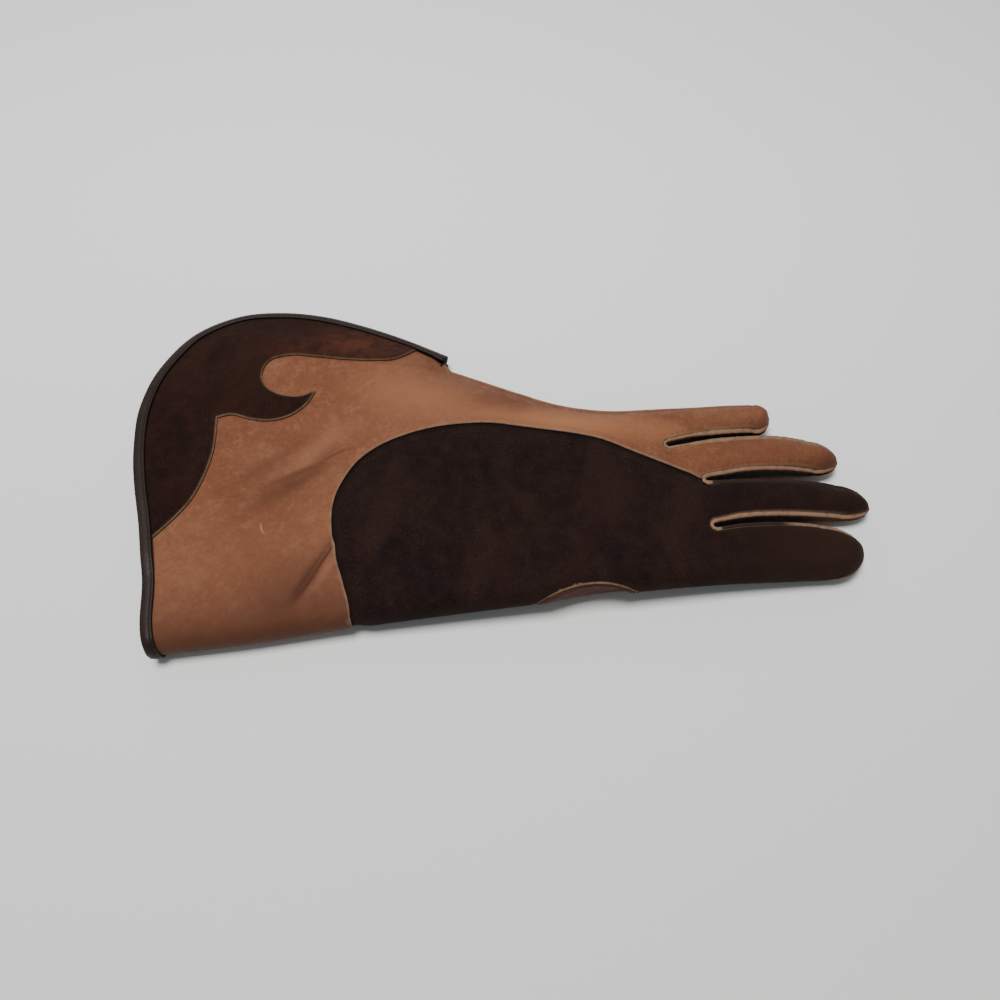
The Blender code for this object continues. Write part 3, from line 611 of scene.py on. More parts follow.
def creases(x, y):
    """Height that the creases add at points of the back."""
    added = np.zeros_like(x)
    for c in CREASES:
        run = np.array([c.x1 - c.x0, c.y1 - c.y0], float)
        length = np.hypot(*run)
        run /= length
        along = (x - c.x0) * run[0] + (y - c.y0) * run[1]
        across = (y - c.y0) * run[0] - (x - c.x0) * run[1]
        ends = np.clip(np.minimum(along, length - along) / (0.35 * length), 0, 1)
        added += c.height * np.exp(-((across / c.width) ** 2)) * ends * ends * (3 - 2 * ends)
    return added


def faces_at(x, y):
    """Heights of the outer faces, back and palm, over plan points. The edges hold them down or up."""
    top = section(x, "top") + creases(x, y) + unevenness(x, y)
    bottom = section(x, "bottom")
    a, b = EDGE[:-1], EDGE[1:]
    run = b[:, :2] - a[:, :2]
    square = np.maximum((run**2).sum(1), 1e-9)
    made_top, made_bottom = top.copy(), bottom.copy()
    for start in range(0, len(x), MANY):
        part = slice(start, start + MANY)
        offset = np.stack([x[part, None] - a[None, :, 0], y[part, None] - a[None, :, 1]], -1)
        t = np.clip((offset * run).sum(-1) / square, 0, 1)
        distance = np.hypot(offset[..., 0] - t * run[:, 0], offset[..., 1] - t * run[:, 1])
        edge = [a[:, k] + t * (b[:, k] - a[:, k]) for k in range(2, 7)]
        share = np.clip((distance - edge[3]) / edge[2], 0, 1)
        kept = (1 - (1 - share) ** 2) ** edge[4]
        over = (edge[0] - top[part, None]) * (1 - kept)
        under = (edge[1] - bottom[part, None]) * (1 - kept)
        made_top[part] += np.minimum(over.min(1), 0)
        made_bottom[part] += np.maximum(under.max(1), 0) + np.minimum(under.min(1), 0)
    return made_top, made_bottom


print("faces are ready")

# %% Folding the pattern
def unfolded(points):
    """Plan points of the back, (x, y), on the flat pattern."""
    x, reach = points[:, 0], points[:, 1] - section(points[:, 0], "near")
    turned = np.arccos(np.clip(1 - reach / FOLD_REACH, -1, 1)) * FOLD_ARC / (math.pi / 2)
    return np.column_stack([x, np.where(reach < FOLD_REACH, turned, FOLD_ARC + reach - FOLD_REACH)])


def refolded(pattern):
    """Pattern points beyond the fold, back in plan."""
    x, v = pattern[:, 0], pattern[:, 1]
    return np.column_stack([x, section(x, "near") + FOLD_REACH + v - FOLD_ARC])


def folded(pattern):
    """The flat pattern's points on the glove's outer face."""
    x, v = pattern[:, 0], pattern[:, 1]
    away = np.abs(v)
    angle = np.clip(away / FOLD_ARC, 0, 1) * math.pi / 2
    reach = np.where(away < FOLD_ARC, FOLD_REACH * (1 - np.cos(angle)), FOLD_REACH + away - FOLD_ARC)
    y = section(x, "near") + reach
    top, bottom = faces_at(x, y)
    middle = middle_height(x)
    height = middle + (np.where(v > 0, top, bottom) - middle) * np.sin(angle)
    return np.column_stack([x, y, height])


def inside(points, polygon):
    """Which points lie inside a closed polygon."""
    found = np.empty(len(points), bool)
    ax, ay = polygon[:, 0], polygon[:, 1]
    bx, by = np.roll(ax, -1), np.roll(ay, -1)
    for first in range(0, len(points), MANY):
        part = slice(first, first + MANY)
        x, y = points[part, 0, None], points[part, 1, None]
        crosses = (ay > y) != (by > y)
        with np.errstate(divide="ignore", invalid="ignore"):
            at = ax + (y - ay) * (bx - ax) / (by - ay)
        found[part] = (crosses & (x < at)).sum(1) % 2 == 1
    return found


print("the fold's outer face at the knuckles", folded(np.array([[20.0, 0.0]]))[0].round(1))

# %% [markdown]
# ## From the flat pattern to a sheet of leather
#
# A cut piece is a flat outline filled with triangles. Points stand along the cut edge, in one row just
# inside it for its rounding, in further rows where a seam presses the leather, and on an even grid
# between. A Delaunay triangulation joins them, which Blender has ready and which keeps the cut edge
# whole. A subdivided box could never follow such curves, and a grid would leave steps along them.

# %% Lines on the pattern
EDGE_STEP = 1.5
GRID_STEP = 2.1


def spaced(points, step=EDGE_STEP):
    """The same line with its points an even step apart, both ends kept."""
    length = np.r_[0, np.cumsum(np.hypot(*np.diff(points, axis=0).T))]
    count = max(2, int(round(length[-1] / step)) + 1)
    wanted = np.linspace(0, length[-1], count)
    return np.column_stack([np.interp(wanted, length, points[:, k]) for k in (0, 1)])


def sewn(lines):
    """Plan curves laid on the pattern, each spaced by itself so that corners stay, and joined."""
    laid = [spaced(unfolded(line[:, :2])) for line in lines]
    joined = [laid[0]]
    for line in laid[1:]:
        same = np.hypot(*(line[0] - joined[-1][-1])) < 0.3
        joined.append(line[1:] if same else line)
    return np.vstack(joined)


def headings(line, closed=False):
    """The unit direction of travel at each point of a line."""
    if closed:
        ahead = np.roll(line, -1, axis=0) - np.roll(line, 1, axis=0)
    else:
        ahead = np.gradient(line, axis=0)
    return ahead / np.maximum(np.linalg.norm(ahead, axis=1), 1e-9)[:, None]


def beside(line, distance, closed=False):
    """The line moved sideways, to its left where distance is positive."""
    ahead = headings(line, closed)
    return line + np.column_stack([-ahead[:, 1], ahead[:, 0]]) * distance


def on_the_fold(x):
    return np.array([[x, 0.0]])


def both_halves(line):
    """A line of the back from the fold onwards, run on over the palm as its mirror image."""
    return np.vstack([line[::-1], line[1:] * (1, -1)])


def to_line(points, line, closed=False):
    """For each point, how far a line is and how far along the line the nearest place is."""
    a, b = (line, np.roll(line, -1, axis=0)) if closed else (line[:-1], line[1:])
    run = b - a
    length = np.maximum(np.hypot(*run.T), 1e-6)
    start = np.r_[0, np.cumsum(length)][:-1]
    far, along = np.empty(len(points)), np.empty(len(points))
    for first in range(0, len(points), MANY):
        part = slice(first, first + MANY)
        offset = points[part, None, :] - a[None]
        t = np.clip((offset * run).sum(-1) / length**2, 0, 1)
        distance = np.hypot(*(offset - t[..., None] * run).transpose(2, 0, 1))
        best = distance.argmin(1)
        rows = np.arange(len(best))
        far[part] = distance[rows, best]
        along[part] = start[best] + t[rows, best] * length[best]
    return far, along


print("edge points every", EDGE_STEP, "mm, grid points every", GRID_STEP, "mm")

# %% Cutting a piece
# A cut piece knows how far each point is from its cut edge, and how far along the edge.
Cut = namedtuple("Cut", "points faces edge_far edge_along")
Pressed = namedtuple("Pressed", "line width")
# The edge is rounded over the first reach, and pale on the face within the second.
ROUNDING = 0.7
RIM = 1.35


def cut_piece(outline, holes=(), pressed=()):
    """Triangles that fill an outline, with extra rows along its edges and along the pressed lines."""
    loops = [outline, *holes]
    rows = []
    for loop, side in zip(loops, [1] + [-1] * len(holes)):
        rows += [beside(loop, reach * side, closed=True) for reach in (ROUNDING, RIM)]
    for groove in pressed:
        for offset in (-groove.width, 0, groove.width):
            rows.append(beside(groove.line, offset))
    extra = np.vstack(rows)
    low, high = outline.min(0) - 1, outline.max(0) + 1
    down = np.arange(low[1], high[1], GRID_STEP * math.sqrt(0.75))
    grid = []
    for k, v in enumerate(down):
        x = np.arange(low[0] + (k % 2) * GRID_STEP / 2, high[0], GRID_STEP)
        grid.append(np.column_stack([x, np.full(len(x), v)]))
    grid = np.vstack(grid)
    for loop, side in zip(loops, [True] + [False] * len(holes)):
        grid = grid[inside(grid, loop) == side]
        extra = extra[inside(extra, loop) == side]
    for loop in loops:
        grid = grid[to_line(grid, loop, True)[0] > RIM + GRID_STEP / 3]
        extra = extra[to_line(extra, loop, True)[0] > ROUNDING * 0.8]
    for groove in pressed:
        grid = grid[to_line(grid, groove.line)[0] > groove.width + GRID_STEP / 3]
    points = np.vstack([*loops, extra, grid])
    edges, first = [], 0
    for loop in loops:
        edges += [(first + k, first + (k + 1) % len(loop)) for k in range(len(loop))]
        first += len(loop)
    made = delaunay_2d_cdt([Vector(p) for p in points], edges, [], 0, 1e-5)
    points = np.array([tuple(p) for p in made[0]])
    faces = np.array([f for f in made[2]])
    middles = points[faces].mean(1)
    kept = inside(middles, outline)
    for hole in holes:
        kept &= ~inside(middles, hole)
    far, along = to_line(points, outline, True)
    for hole in holes:
        hole_far, hole_along = to_line(points, hole, True)
        along = np.where(hole_far < far, hole_along, along)
        far = np.minimum(far, hole_far)
    return Cut(points, faces[kept], far, along)


print("a piece's edge is rounded over", ROUNDING, "mm")

# %% [markdown]
# ## Thickness, raw edges and what the surface knows of itself
#
# Leather has two faces and a cut edge with a shape of its own: the knife leaves it square, and handling
# rounds it. So the sheet gets an outer face, an inner face and four rows of edge between them that bulge
# a little. The mesh also carries facts that the materials read later: where the edge is raw, which face
# is the inside, where painted shade darkens the leather, and the pattern itself as a UV map.

# %% Making the solid sheet
EDGE_ROWS = (0.0, 0.3, 0.7, 1.0)
EDGE_BULGE = 0.12
EDGE_DROP = 0.26


def normals_of(points, faces):
    """A unit normal for each point, from the triangles round it."""
    a, b, c = (points[faces[:, k]] for k in range(3))
    face = np.cross(b - a, c - a)
    made = np.zeros_like(points)
    for k in range(3):
        np.add.at(made, faces[:, k], face)
    return made / np.maximum(np.linalg.norm(made, axis=1), 1e-9)[:, None]


def new_piece(name, points, faces, node, facts=None, flat=None):
    """A mesh object from millimetres, riding on the glove's one body, that stands for a solid."""
    mesh = bpy.data.meshes.new(name)
    mesh.from_pydata(placed(points).tolist(), [], [tuple(map(int, f)) for f in faces])
    mesh.shade_smooth()
    if flat is not None:
        corner = np.empty(len(mesh.loops), int)
        mesh.loops.foreach_get("vertex_index", corner)
        layer = mesh.uv_layers.new(name="pattern")
        layer.data.foreach_set("uv", (np.asarray(flat, float)[corner] * MM).ravel())
    for fact, values in (facts or {}).items():
        attribute = mesh.attributes.new(fact, "FLOAT", "POINT")
        attribute.data.foreach_set("value", np.asarray(values, float))
    piece = bpy.data.objects.new(name, mesh)
    bpy.context.scene.collection.objects.link(piece)
    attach(piece, "root")
    if node:
        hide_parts(node)
    print(name, len(mesh.polygons), "faces")
    return piece


def sheet_of_leather(name, cut, node, slot, low, high, press=0.0, raw=1.0, rim_share=0.0, **facts):
    """A closed sheet over a cut piece, between two distances from the glove's outer face.

    raw says how pale the cut edge is, and rim_share how much of that shows in a narrow rim on the face.
    """
    base = folded(cut.points)
    up = normals_of(base, cut.faces)
    press = press * np.ones(len(base))
    raw = raw * np.ones(len(base))
    near_edge = np.clip(1 - cut.edge_far / ROUNDING, 0, 1) ** 2
    outer = base + up * (high - press - EDGE_DROP * near_edge)[:, None]
    inner = base + up * (low - press + EDGE_DROP * near_edge)[:, None]
    n = len(base)
    directed = {(f[k], f[(k + 1) % 3]) for f in cut.faces for k in range(3)}
    free = [(a, b) for a, b in directed if (b, a) not in directed]
    rim = sorted({v for edge in free for v in edge})
    place = {v: k for k, v in enumerate(rim)}
    ahead = np.zeros((len(rim), 3))
    for a, b in free:
        step = base[b] - base[a]
        ahead[place[a]] += step
        ahead[place[b]] += step
    out = np.cross(ahead, up[rim])
    out /= np.maximum(np.linalg.norm(out, axis=1), 1e-9)[:, None]
    walls, columns = [], []
    for row in EDGE_ROWS[1:-1]:
        middle = outer[rim] * (1 - row) + inner[rim] * row
        columns.append(2 * n + len(walls) * len(rim))
        walls.append(middle + out * EDGE_BULGE * math.sin(math.pi * row))
    faces = [tuple(f) for f in cut.faces] + [tuple(f[::-1] + n) for f in cut.faces]
    for a, b in free:
        levels_a = [a] + [c + place[a] for c in columns] + [a + n]
        levels_b = [b] + [c + place[b] for c in columns] + [b + n]
        for k in range(len(levels_a) - 1):
            faces.append((levels_b[k], levels_a[k], levels_a[k + 1], levels_b[k + 1]))
    points = np.vstack([outer, inner, *walls])
    copies = [np.arange(n), np.arange(n)] + [np.array(rim)] * len(walls)
    source = np.concatenate(copies)
    wall = np.arange(len(points)) >= 2 * n
    rim_pale = np.clip((RIM - cut.edge_far) / (RIM - ROUNDING), 0, 1) * rim_share
    rim_pale = np.where(cut.edge_far < 0.05, 1, rim_pale)
    known = {"raw": np.where(wall, 1, rim_pale[source]) * raw[source]}
    known["flesh"] = ((np.arange(len(points)) >= n) & ~wall).astype(float)
    for fact, values in facts.items():
        known[fact] = (np.asarray(values) * np.ones(n))[source]
    return new_piece(name, points, faces, node, known, cut.points[source])


print("a cut edge has", len(EDGE_ROWS), "rows and bulges", EDGE_BULGE, "mm")

# %% [markdown]
# ## Finishes
#
# The patterns read Object coordinates or the flat pattern's own UV map, in metres, so a noise of scale 100
# has patches of a centimetre. The facts that the meshes carry say where an edge is raw and where the flesh
# side shows.

# %% [markdown]
# ### Tan leather
#
# The cuff and the outer fingers are a napped cowhide: matt, warm brown, cloudy where the dye took unevenly
# and a little redder where the hide bends, with painted shade in its creases and along the fold. Three
# noises of falling size make the clouds, the blotches and the nap. The raw edge shows the pale undyed
# middle of the hide.

# %% Tan leather
PALE_EDGE = (0.225, 0.148, 0.094)
DIRTY_EDGE = (0.105, 0.058, 0.034)
FLESH_SIDE = (0.25, 0.15, 0.09)
# The colour of painted shade deep in the gaps between the fingers.
GAP_SHADE_COLOUR = (0.0055, 0.0032, 0.0027)


def cut_edge(tree, place, colour):
    """Lays the pale raw edge over a colour, with dirt in it and fibres that break its border."""
    dirt = between(tree, noise(tree, place, 240, 4.0, 0.65), 0.42, 0.70)
    fibres = between(tree, noise(tree, place, 900, 3.0), 0.3, 0.7, 0.72, 1.0)
    edge = mixed(tree, product(tree, dirt, 0.75), PALE_EDGE, DIRTY_EDGE)
    return mixed(tree, product(tree, fact(tree, "raw"), fibres), colour, edge)


def tan_paint(name, light, deep, red):
    paint, tree, shader = new_paint(name, Specular_IOR_Level=0.22, Sheen_Weight=0.05, Sheen_Roughness=0.45)
    place = add(tree, "ShaderNodeTexCoord").outputs["Object"]
    clouds = between(tree, noise(tree, place, 17, 3.0), 0.36, 0.66)
    blotches = between(tree, noise(tree, place, 75, 5.0, 0.65), 0.35, 0.68)
    nap = noise(tree, place, 420, 5.0, 0.72)
    mottle = noise(tree, place, 165, 5.0, 0.6, 0.4)
    colour = mixed(tree, clouds, light, deep)
    colour = toned(tree, colour, (
        (blotches, 0, 1, 0.42, red),
        (nap, 0.52, 0.72, 0.46, (0.25, 0.115, 0.062)),
        (nap, 0.48, 0.30, 0.50, (0.082, 0.027, 0.012)),
        (mottle, 0.52, 0.70, 0.42, (0.240, 0.105, 0.056)),
        (mottle, 0.46, 0.30, 0.32, (0.098, 0.032, 0.0135)),
    ))
    colour = marked(tree, colour, TAN_WEAR_AND_SHADE)
    # Painted shade, read from the mesh, in creases, seam furrows and along the cuff's fold.
    colour = mixed(tree, product(tree, fact(tree, "shade"), 0.75), colour, (0.050, 0.015, 0.007))
    colour = mixed(tree, fact(tree, "flesh"), colour, FLESH_SIDE)
    # Painted shade darkens the strips between the fingers, where little light reaches into the gaps.
    colour = mixed(tree, fact(tree, "soot"), cut_edge(tree, place, colour), GAP_SHADE_COLOUR)
    tree.links.new(colour, shader.inputs["Base Color"])
    tree.links.new(between(tree, nap, 0.3, 0.7, 0.72, 0.92), shader.inputs["Roughness"])
    pores = add(tree, "ShaderNodeTexVoronoi", {"Vector": place}, Scale=850).outputs["Distance"]
    bumped(tree, shader, ((blotches, 0.10), (pores, 0.05), (nap, 0.16)))
    return paint


# Marks on the tan leather: place on the pattern, length, width, turn, strength and colour. Some are wear;
# others are painted shade in creases and near the fold, and painted highlights on the rises beside creases.
TAN_WEAR_AND_SHADE = (
    # Two pale scratches in the grain.
    (-125.0, 63.5, 4.4, 0.7, -72, 1.0, (0.33, 0.19, 0.13)),
    (-123.4, 60.5, 2.6, 0.5, -60, 0.8, (0.31, 0.18, 0.12)),
    # Painted shade in the sharp crease across the wrist, and a painted highlight on the rise beside it.
    (-90.5, 40.5, 13.0, 1.5, 60, 1.3, (0.062, 0.019, 0.009)),
    (-97.0, 28.5, 16.0, 3.0, 62, 0.75, (0.085, 0.027, 0.012)),
    (-88.2, 32.5, 14.0, 3.2, 60, 0.7, (0.235, 0.100, 0.052)),
    # Painted shade in two smaller creases on the cuff, with a painted highlight beside them.
    (-92.0, 103.5, 15.0, 2.0, 14, 0.8, (0.080, 0.026, 0.012)),
    (-111.0, 95.0, 22.0, 2.6, 20, 0.7, (0.088, 0.028, 0.013)),
    (-104.0, 100.8, 18.0, 2.4, 18, 0.5, (0.240, 0.105, 0.055)),
    (-77.5, 151.0, 16.0, 1.0, 40, 0.42, (0.26, 0.125, 0.070)),
    (-130.0, 56.0, 60.0, 46.0, 10, 0.30, (0.165, 0.060, 0.026)),
    # Darker and redder along the cuff near the fold: a redder tone with painted shade.
    (-150.0, 8.0, 36.0, 15.0, 4, 0.60, (0.098, 0.031, 0.013)),
    (-108.0, 8.0, 40.0, 14.0, 6, 0.60, (0.098, 0.031, 0.013)),
    (-114.0, 86.0, 46.0, 7.0, 30, 0.60, (0.105, 0.034, 0.014)),
    (-128.0, 104.0, 40.0, 6.0, 32, 0.45, (0.108, 0.036, 0.015)),
    (-100.0, 112.0, 34.0, 8.0, 30, 0.50, (0.235, 0.100, 0.050)),
    (-46.0, 138.0, 60.0, 24.0, -22, 0.90, (0.240, 0.098, 0.047)),
    (40.0, 108.0, 74.0, 15.0, -13, 0.95, (0.290, 0.120, 0.057)),
    (96.0, 92.0, 22.0, 12.0, -20, 0.60, (0.260, 0.104, 0.048)),
    (152.0, 78.0, 50.0, 16.0, 4, 0.55, (0.112, 0.036, 0.0155)),
    (186.0, 73.0, 16.0, 14.0, 0, 0.80, (0.075, 0.023, 0.010)),
    (132.0, 101.0, 34.0, 10.0, 5, 0.30, (0.140, 0.048, 0.020)),
)
tan_leather = tan_paint(
    "tan_leather", light=(0.182, 0.073, 0.036), deep=(0.136, 0.048, 0.0205), red=(0.152, 0.044, 0.0175)
)
# These marks are wear, painted shade and painted highlights.
print("tan leather has", len(TAN_WEAR_AND_SHADE), "marks of wear")

# %% [markdown]
# ### Dark suede
#
# Suede is the brushed flesh side: no shine, a soft glow where its fibres stand against the light, and
# streaks where a hand has stroked them over. Fine specks of paler fibre sit in an almost black brown. The
# sheen of the shader gives the glow, and the specks come from a noise with hard contrast.

# %% Dark suede
def suede_paint(name, dark, warm, fleck):
    paint, tree, shader = new_paint(name, Roughness=0.95, Specular_IOR_Level=0.08, Sheen_Weight=0.06)
    shader.inputs["Sheen Roughness"].default_value = 0.55
    shader.inputs["Sheen Tint"].default_value = (0.62, 0.46, 0.38, 1)
    place = add(tree, "ShaderNodeTexCoord").outputs["Object"]
    strokes = add(tree, "ShaderNodeMapping", {"Vector": place})
    strokes.inputs["Scale"].default_value = (1.0, 0.55, 1.0)
    strokes.inputs["Rotation"].default_value = (0, 0, math.radians(24))
    brushed = between(tree, noise(tree, strokes.outputs[0], 34, 5.0, 0.62, 0.6), 0.40, 0.68)
    patches = between(tree, noise(tree, place, 130, 4.0, 0.6), 0.42, 0.72)
    nap = noise(tree, place, 760, 4.0, 0.75)
    colour = mixed(tree, product(tree, brushed, 0.62), dark, warm)
    colour = mixed(tree, product(tree, patches, 0.45), colour, warm)
    colour = toned(tree, colour, (
        (nap, 0.60, 0.80, 0.5, fleck),
        (nap, 0.48, 0.30, 0.6, (0.003, 0.0015, 0.0014)),
    ))
    worn = between(tree, noise(tree, place, 105, 4.0, 0.62, 0.5), 0.36, 0.60, 0.30, 1.0)
    brown = mixed(tree, nap, (0.030, 0.0100, 0.0056), (0.084, 0.028, 0.0145))
    colour = mixed(tree, product(tree, fact(tree, "rubbed"), worn), colour, brown)
    colour = mixed(tree, product(tree, fact(tree, "shade"), 0.8), colour, (0.004, 0.002, 0.002))
    colour = mixed(tree, fact(tree, "flesh"), marked(tree, colour, SUEDE_MARKS), FLESH_SIDE)
    lint = noise(tree, place, 1500, 0.0)
    colour = toned(tree, colour, ((lint, 0.79, 0.82, 0.30, (0.10, 0.062, 0.044)),))
    tree.links.new(cut_edge(tree, place, colour), shader.inputs["Base Color"])
    bumped(tree, shader, ((patches, 0.12), (nap, 0.30)))
    return paint


# Marks on the suede, told as those on the tan leather: the fingers are worn a little browner.
SUEDE_MARKS = (
    (172.0, 14.0, 78.0, 52.0, -4, 0.85, (0.0215, 0.0095, 0.0066)),
    (60.0, 52.0, 34.0, 22.0, 60, 0.30, (0.0230, 0.0092, 0.0070)),
)
dark_suede = suede_paint(
    "dark_suede", (0.0078, 0.0038, 0.0040), (0.0240, 0.0106, 0.0079), (0.060, 0.030, 0.020)
)
cuff_suede = suede_paint(
    "cuff_suede", (0.0094, 0.0036, 0.0029), (0.0275, 0.0094, 0.0058), (0.062, 0.026, 0.014)
)
print("suede for the hand and for the cuff")

# %% [markdown]
# ### Binding, thumb leather and thread
#
# The binding is a thin smooth strip of grain leather, grey brown and a little shiny, so its rounded edge
# catches the light as a line. The thumb is a redder leather. Thread is waxed, with a twist that a fine
# wave gives it.

# %% Binding, thumb and thread
def smooth_paint(name, colour, second, roughness, grain, depth):
    paint, tree, shader = new_paint(name, Specular_IOR_Level=0.16)
    place = add(tree, "ShaderNodeTexCoord").outputs["Object"]
    clouds = between(tree, noise(tree, place, 60, 4.0), 0.35, 0.68)
    fine = noise(tree, place, 700, 4.0, 0.7)
    mix = mixed(tree, clouds, colour, second)
    mix = toned(tree, mix, ((fine, 0.55, 0.8, 0.3, tuple(c * 2.2 for c in second)),))
    mix = mixed(tree, product(tree, fact(tree, "shade"), 0.8), mix, tuple(c * 0.15 for c in colour))
    mix = mixed(tree, fact(tree, "raw"), mix, PALE_EDGE)
    tree.links.new(mix, shader.inputs["Base Color"])
    rough = between(tree, fine, 0.3, 0.7, roughness - 0.07, roughness + 0.12)
    tree.links.new(rough, shader.inputs["Roughness"])
    cells = add(tree, "ShaderNodeTexVoronoi", {"Vector": place}, Scale=grain).outputs["Distance"]
    bumped(tree, shader, ((cells, depth), (fine, depth * 0.7)))
    return paint


binding_leather = smooth_paint(
    "binding_leather", (0.0150, 0.0084, 0.0070), (0.0228, 0.0136, 0.0115), 0.48, 1100, 0.05
)
thumb_leather = smooth_paint(
    "thumb_leather", (0.066, 0.019, 0.0105), (0.044, 0.0125, 0.0072), 0.62, 900, 0.07
)


def thread_paint(name, colour):
    paint, tree, shader = new_paint(name, Roughness=0.75, Specular_IOR_Level=0.12)
    place = add(tree, "ShaderNodeTexCoord").outputs["Object"]
    twist = noise(tree, place, 2600, 2.0)
    tree.links.new(mixed(tree, twist, tuple(c * 0.6 for c in colour), colour), shader.inputs["Base Color"])
    bumped(tree, shader, ((twist, 0.06),))
    return paint


dark_thread = thread_paint("dark_thread", (0.023, 0.0125, 0.0100))
brown_thread = thread_paint("brown_thread", (0.120, 0.045, 0.021))
print("finishes", sorted(m.name for m in bpy.data.materials))

# %% [markdown]
# ## The lines that seams follow
#
# Before any piece is cut, the lines that several pieces share are laid on the pattern once: the mouth of
# the cuff, the scroll, the tan leather's edge over the hand's suede, and the thumb's opening. Pieces that
# meet then meet exactly.

# %% Shared lines
LAP_OVER = 4.0
mouth = spaced(unfolded(mouth_edge()[:, :2]))
ring_gap = crotch_line(MIDDLE, RING, FLAP_INSET)
hand_curve = curve_through(HAND_EDGE)
hand_curve[-1] = ring_gap[6]
hand_line = np.vstack([on_the_fold(HAND_EDGE_FOLD_X), spaced(unfolded(hand_curve))[1:]])
scroll_curves = [curve_through(part) for part in SCROLL]
dense_mouth = mouth_edge()[:, :2]
ends = []
for corner in (scroll_curves[0][0], scroll_curves[-1][-1]):
    ends.append(int(np.argmin(np.hypot(*(dense_mouth - corner).T))))
scroll_curves[0][0] = dense_mouth[ends[0]]
scroll_curves[-1][-1] = dense_mouth[ends[1]]
scroll_line = sewn(scroll_curves)
under_suede = spaced(unfolded(dense_mouth[ends[0] : ends[1] + 1]))


def thumb_hole(grown=0.0, count=72):
    """The thumb's opening on the pattern, made wider by grown."""
    angle = np.linspace(0, 2 * math.pi, count, endpoint=False)
    x = THUMB_HOLE_X + (THUMB_HOLE_LONG + grown) * np.cos(angle)
    v = THUMB_HOLE_V + (THUMB_HOLE_WIDE + grown) * np.sin(angle)
    return np.column_stack([x, v])


print("mouth", len(mouth), "points, scroll", len(scroll_line), "points")

# %% Outlines of the three big pieces
def finger_outline(lowers, seam):
    """The fingers' cut edge in plan, from the little finger's seam or the first gap to the index tip."""
    lines = []
    if seam:
        line = side_line(LITTLE, "far", 0, 88)
        lines += [line, np.vstack([line[-1:], tip_line(LITTLE, FLAP_INSET, 0)])]
    for lower in lowers:
        upper = {"ring": LITTLE, "middle": RING, "index": MIDDLE}[lower.name]
        if lines:
            lines.append(side_line(upper, "near", FLAP_INSET, lower.crotch)[::-1])
            lines.append(crotch_line(lower, upper, FLAP_INSET))
        lines.append(side_line(lower, "far", FLAP_INSET, lower.crotch))
        near_inset = 0 if lower is INDEX else FLAP_INSET
        lines.append(np.vstack([lines[-1][-1:], tip_line(lower, near_inset, FLAP_INSET)]))
    return lines


tan_lines = [seam_edge()[:, :2], *finger_outline((RING,), True)]
tan_lines += [side_line(RING, "near", FLAP_INSET, MIDDLE.crotch)[::-1], ring_gap[:7]]
tan_half = np.vstack([mouth, sewn(tan_lines)[1:], hand_line[::-1][1:]])
tan_outline = both_halves(tan_half)[:-1]

lap = beside(hand_line, 1.0)[3:-3]
lap_reach = LAP_OVER * np.clip((len(lap) - np.arange(len(lap))) / 14, 0.35, 1)
lap = lap + (lap - hand_line[3:-3]) * (lap_reach - 1)[:, None]
suede_lines = [ring_gap[4:], *finger_outline((MIDDLE, INDEX), False)]
suede_half = np.vstack([on_the_fold(HAND_EDGE_FOLD_X - LAP_OVER), lap, sewn(suede_lines)])
suede_half = np.vstack([suede_half[:-1], on_the_fold(suede_half[-1, 0] + 0.5)])
suede_outline = both_halves(suede_half)[:-1]
cuff_outline = np.vstack([scroll_line, under_suede[::-1][1:-1]])


def turns_left(loop):
    """Whether a closed line runs counter-clockwise."""
    after = np.roll(loop, -1, axis=0)
    return (loop[:, 0] * after[:, 1] - after[:, 0] * loop[:, 1]).sum() > 0


tan_outline, suede_outline, cuff_outline = (
    loop if turns_left(loop) else loop[::-1] for loop in (tan_outline, suede_outline, cuff_outline)
)
print("outlines", len(tan_outline), len(suede_outline), len(cuff_outline), "points")

# %% [markdown]
# ## How a seam presses the leather
#
# A row of stitches pulls a shallow furrow into the leather, deepest at each thread, and the leather
# bulges softly beside it. The same lines that press the sheets carry the threads later. A stitch every
# three and a half millimetres is usual on a working glove.

# %% Seam lines and their pull
PITCH = 3.4
STITCH = 2.5
EDGE_SEAM_DEPTH = 0.22
EDGE_SEAM_WIDTH = 0.9
hand_seam = beside(hand_line, -6.6)[5:-6]
tan_seam = beside(hand_line, 1.9)[3:-3]
scroll_seam = beside(scroll_line, 1.8 if turns_left(cuff_outline) else -1.8)
scroll_seam = scroll_seam[inside(scroll_seam, cuff_outline)]
scroll_seam = scroll_seam[to_line(scroll_seam, scroll_line)[0] > 1.6]


def pull(points, line, depth, width):
    """How deep a row of stitches presses the surface, with a pucker at each thread."""
    far, along = to_line(points, line)
    pucker = 0.75 + 0.25 * np.cos(2 * math.pi * along / PITCH)
    return depth * pucker * np.exp(-((far / width) ** 2))


def edge_seam(cut, inset, share):
    """The furrow of a seam beside the cut edge, from 0 to 1, and how deep it presses with its puckers."""
    furrow = np.exp(-(((cut.edge_far - inset) / EDGE_SEAM_WIDTH) ** 2)) * share
    pucker = 0.7 + 0.3 * np.cos(2 * math.pi * cut.edge_along / PITCH)
    return furrow, EDGE_SEAM_DEPTH * furrow * pucker


def on_back(points):
    """Points of the pattern with the palm's half laid over the back's."""
    return np.column_stack([points[:, 0], np.abs(points[:, 1])])


def flap_side(finger, side, lower):
    """The edge of a finger's flaps along one side, from the bottom of the gap beyond lower to the tip."""
    return side_line(finger, side, FLAP_INSET, lower.crotch)


def close_to(points, lines, reach=2.8):
    """1 where a point of either half of the pattern lies within reach of a plan line, else 0."""
    there = on_back(points)
    found = np.zeros(len(points))
    for line in lines:
        found = np.maximum(found, to_line(there, unfolded(line[:, :2]))[0] < reach)
    return found


print("stitches every", PITCH, "mm")

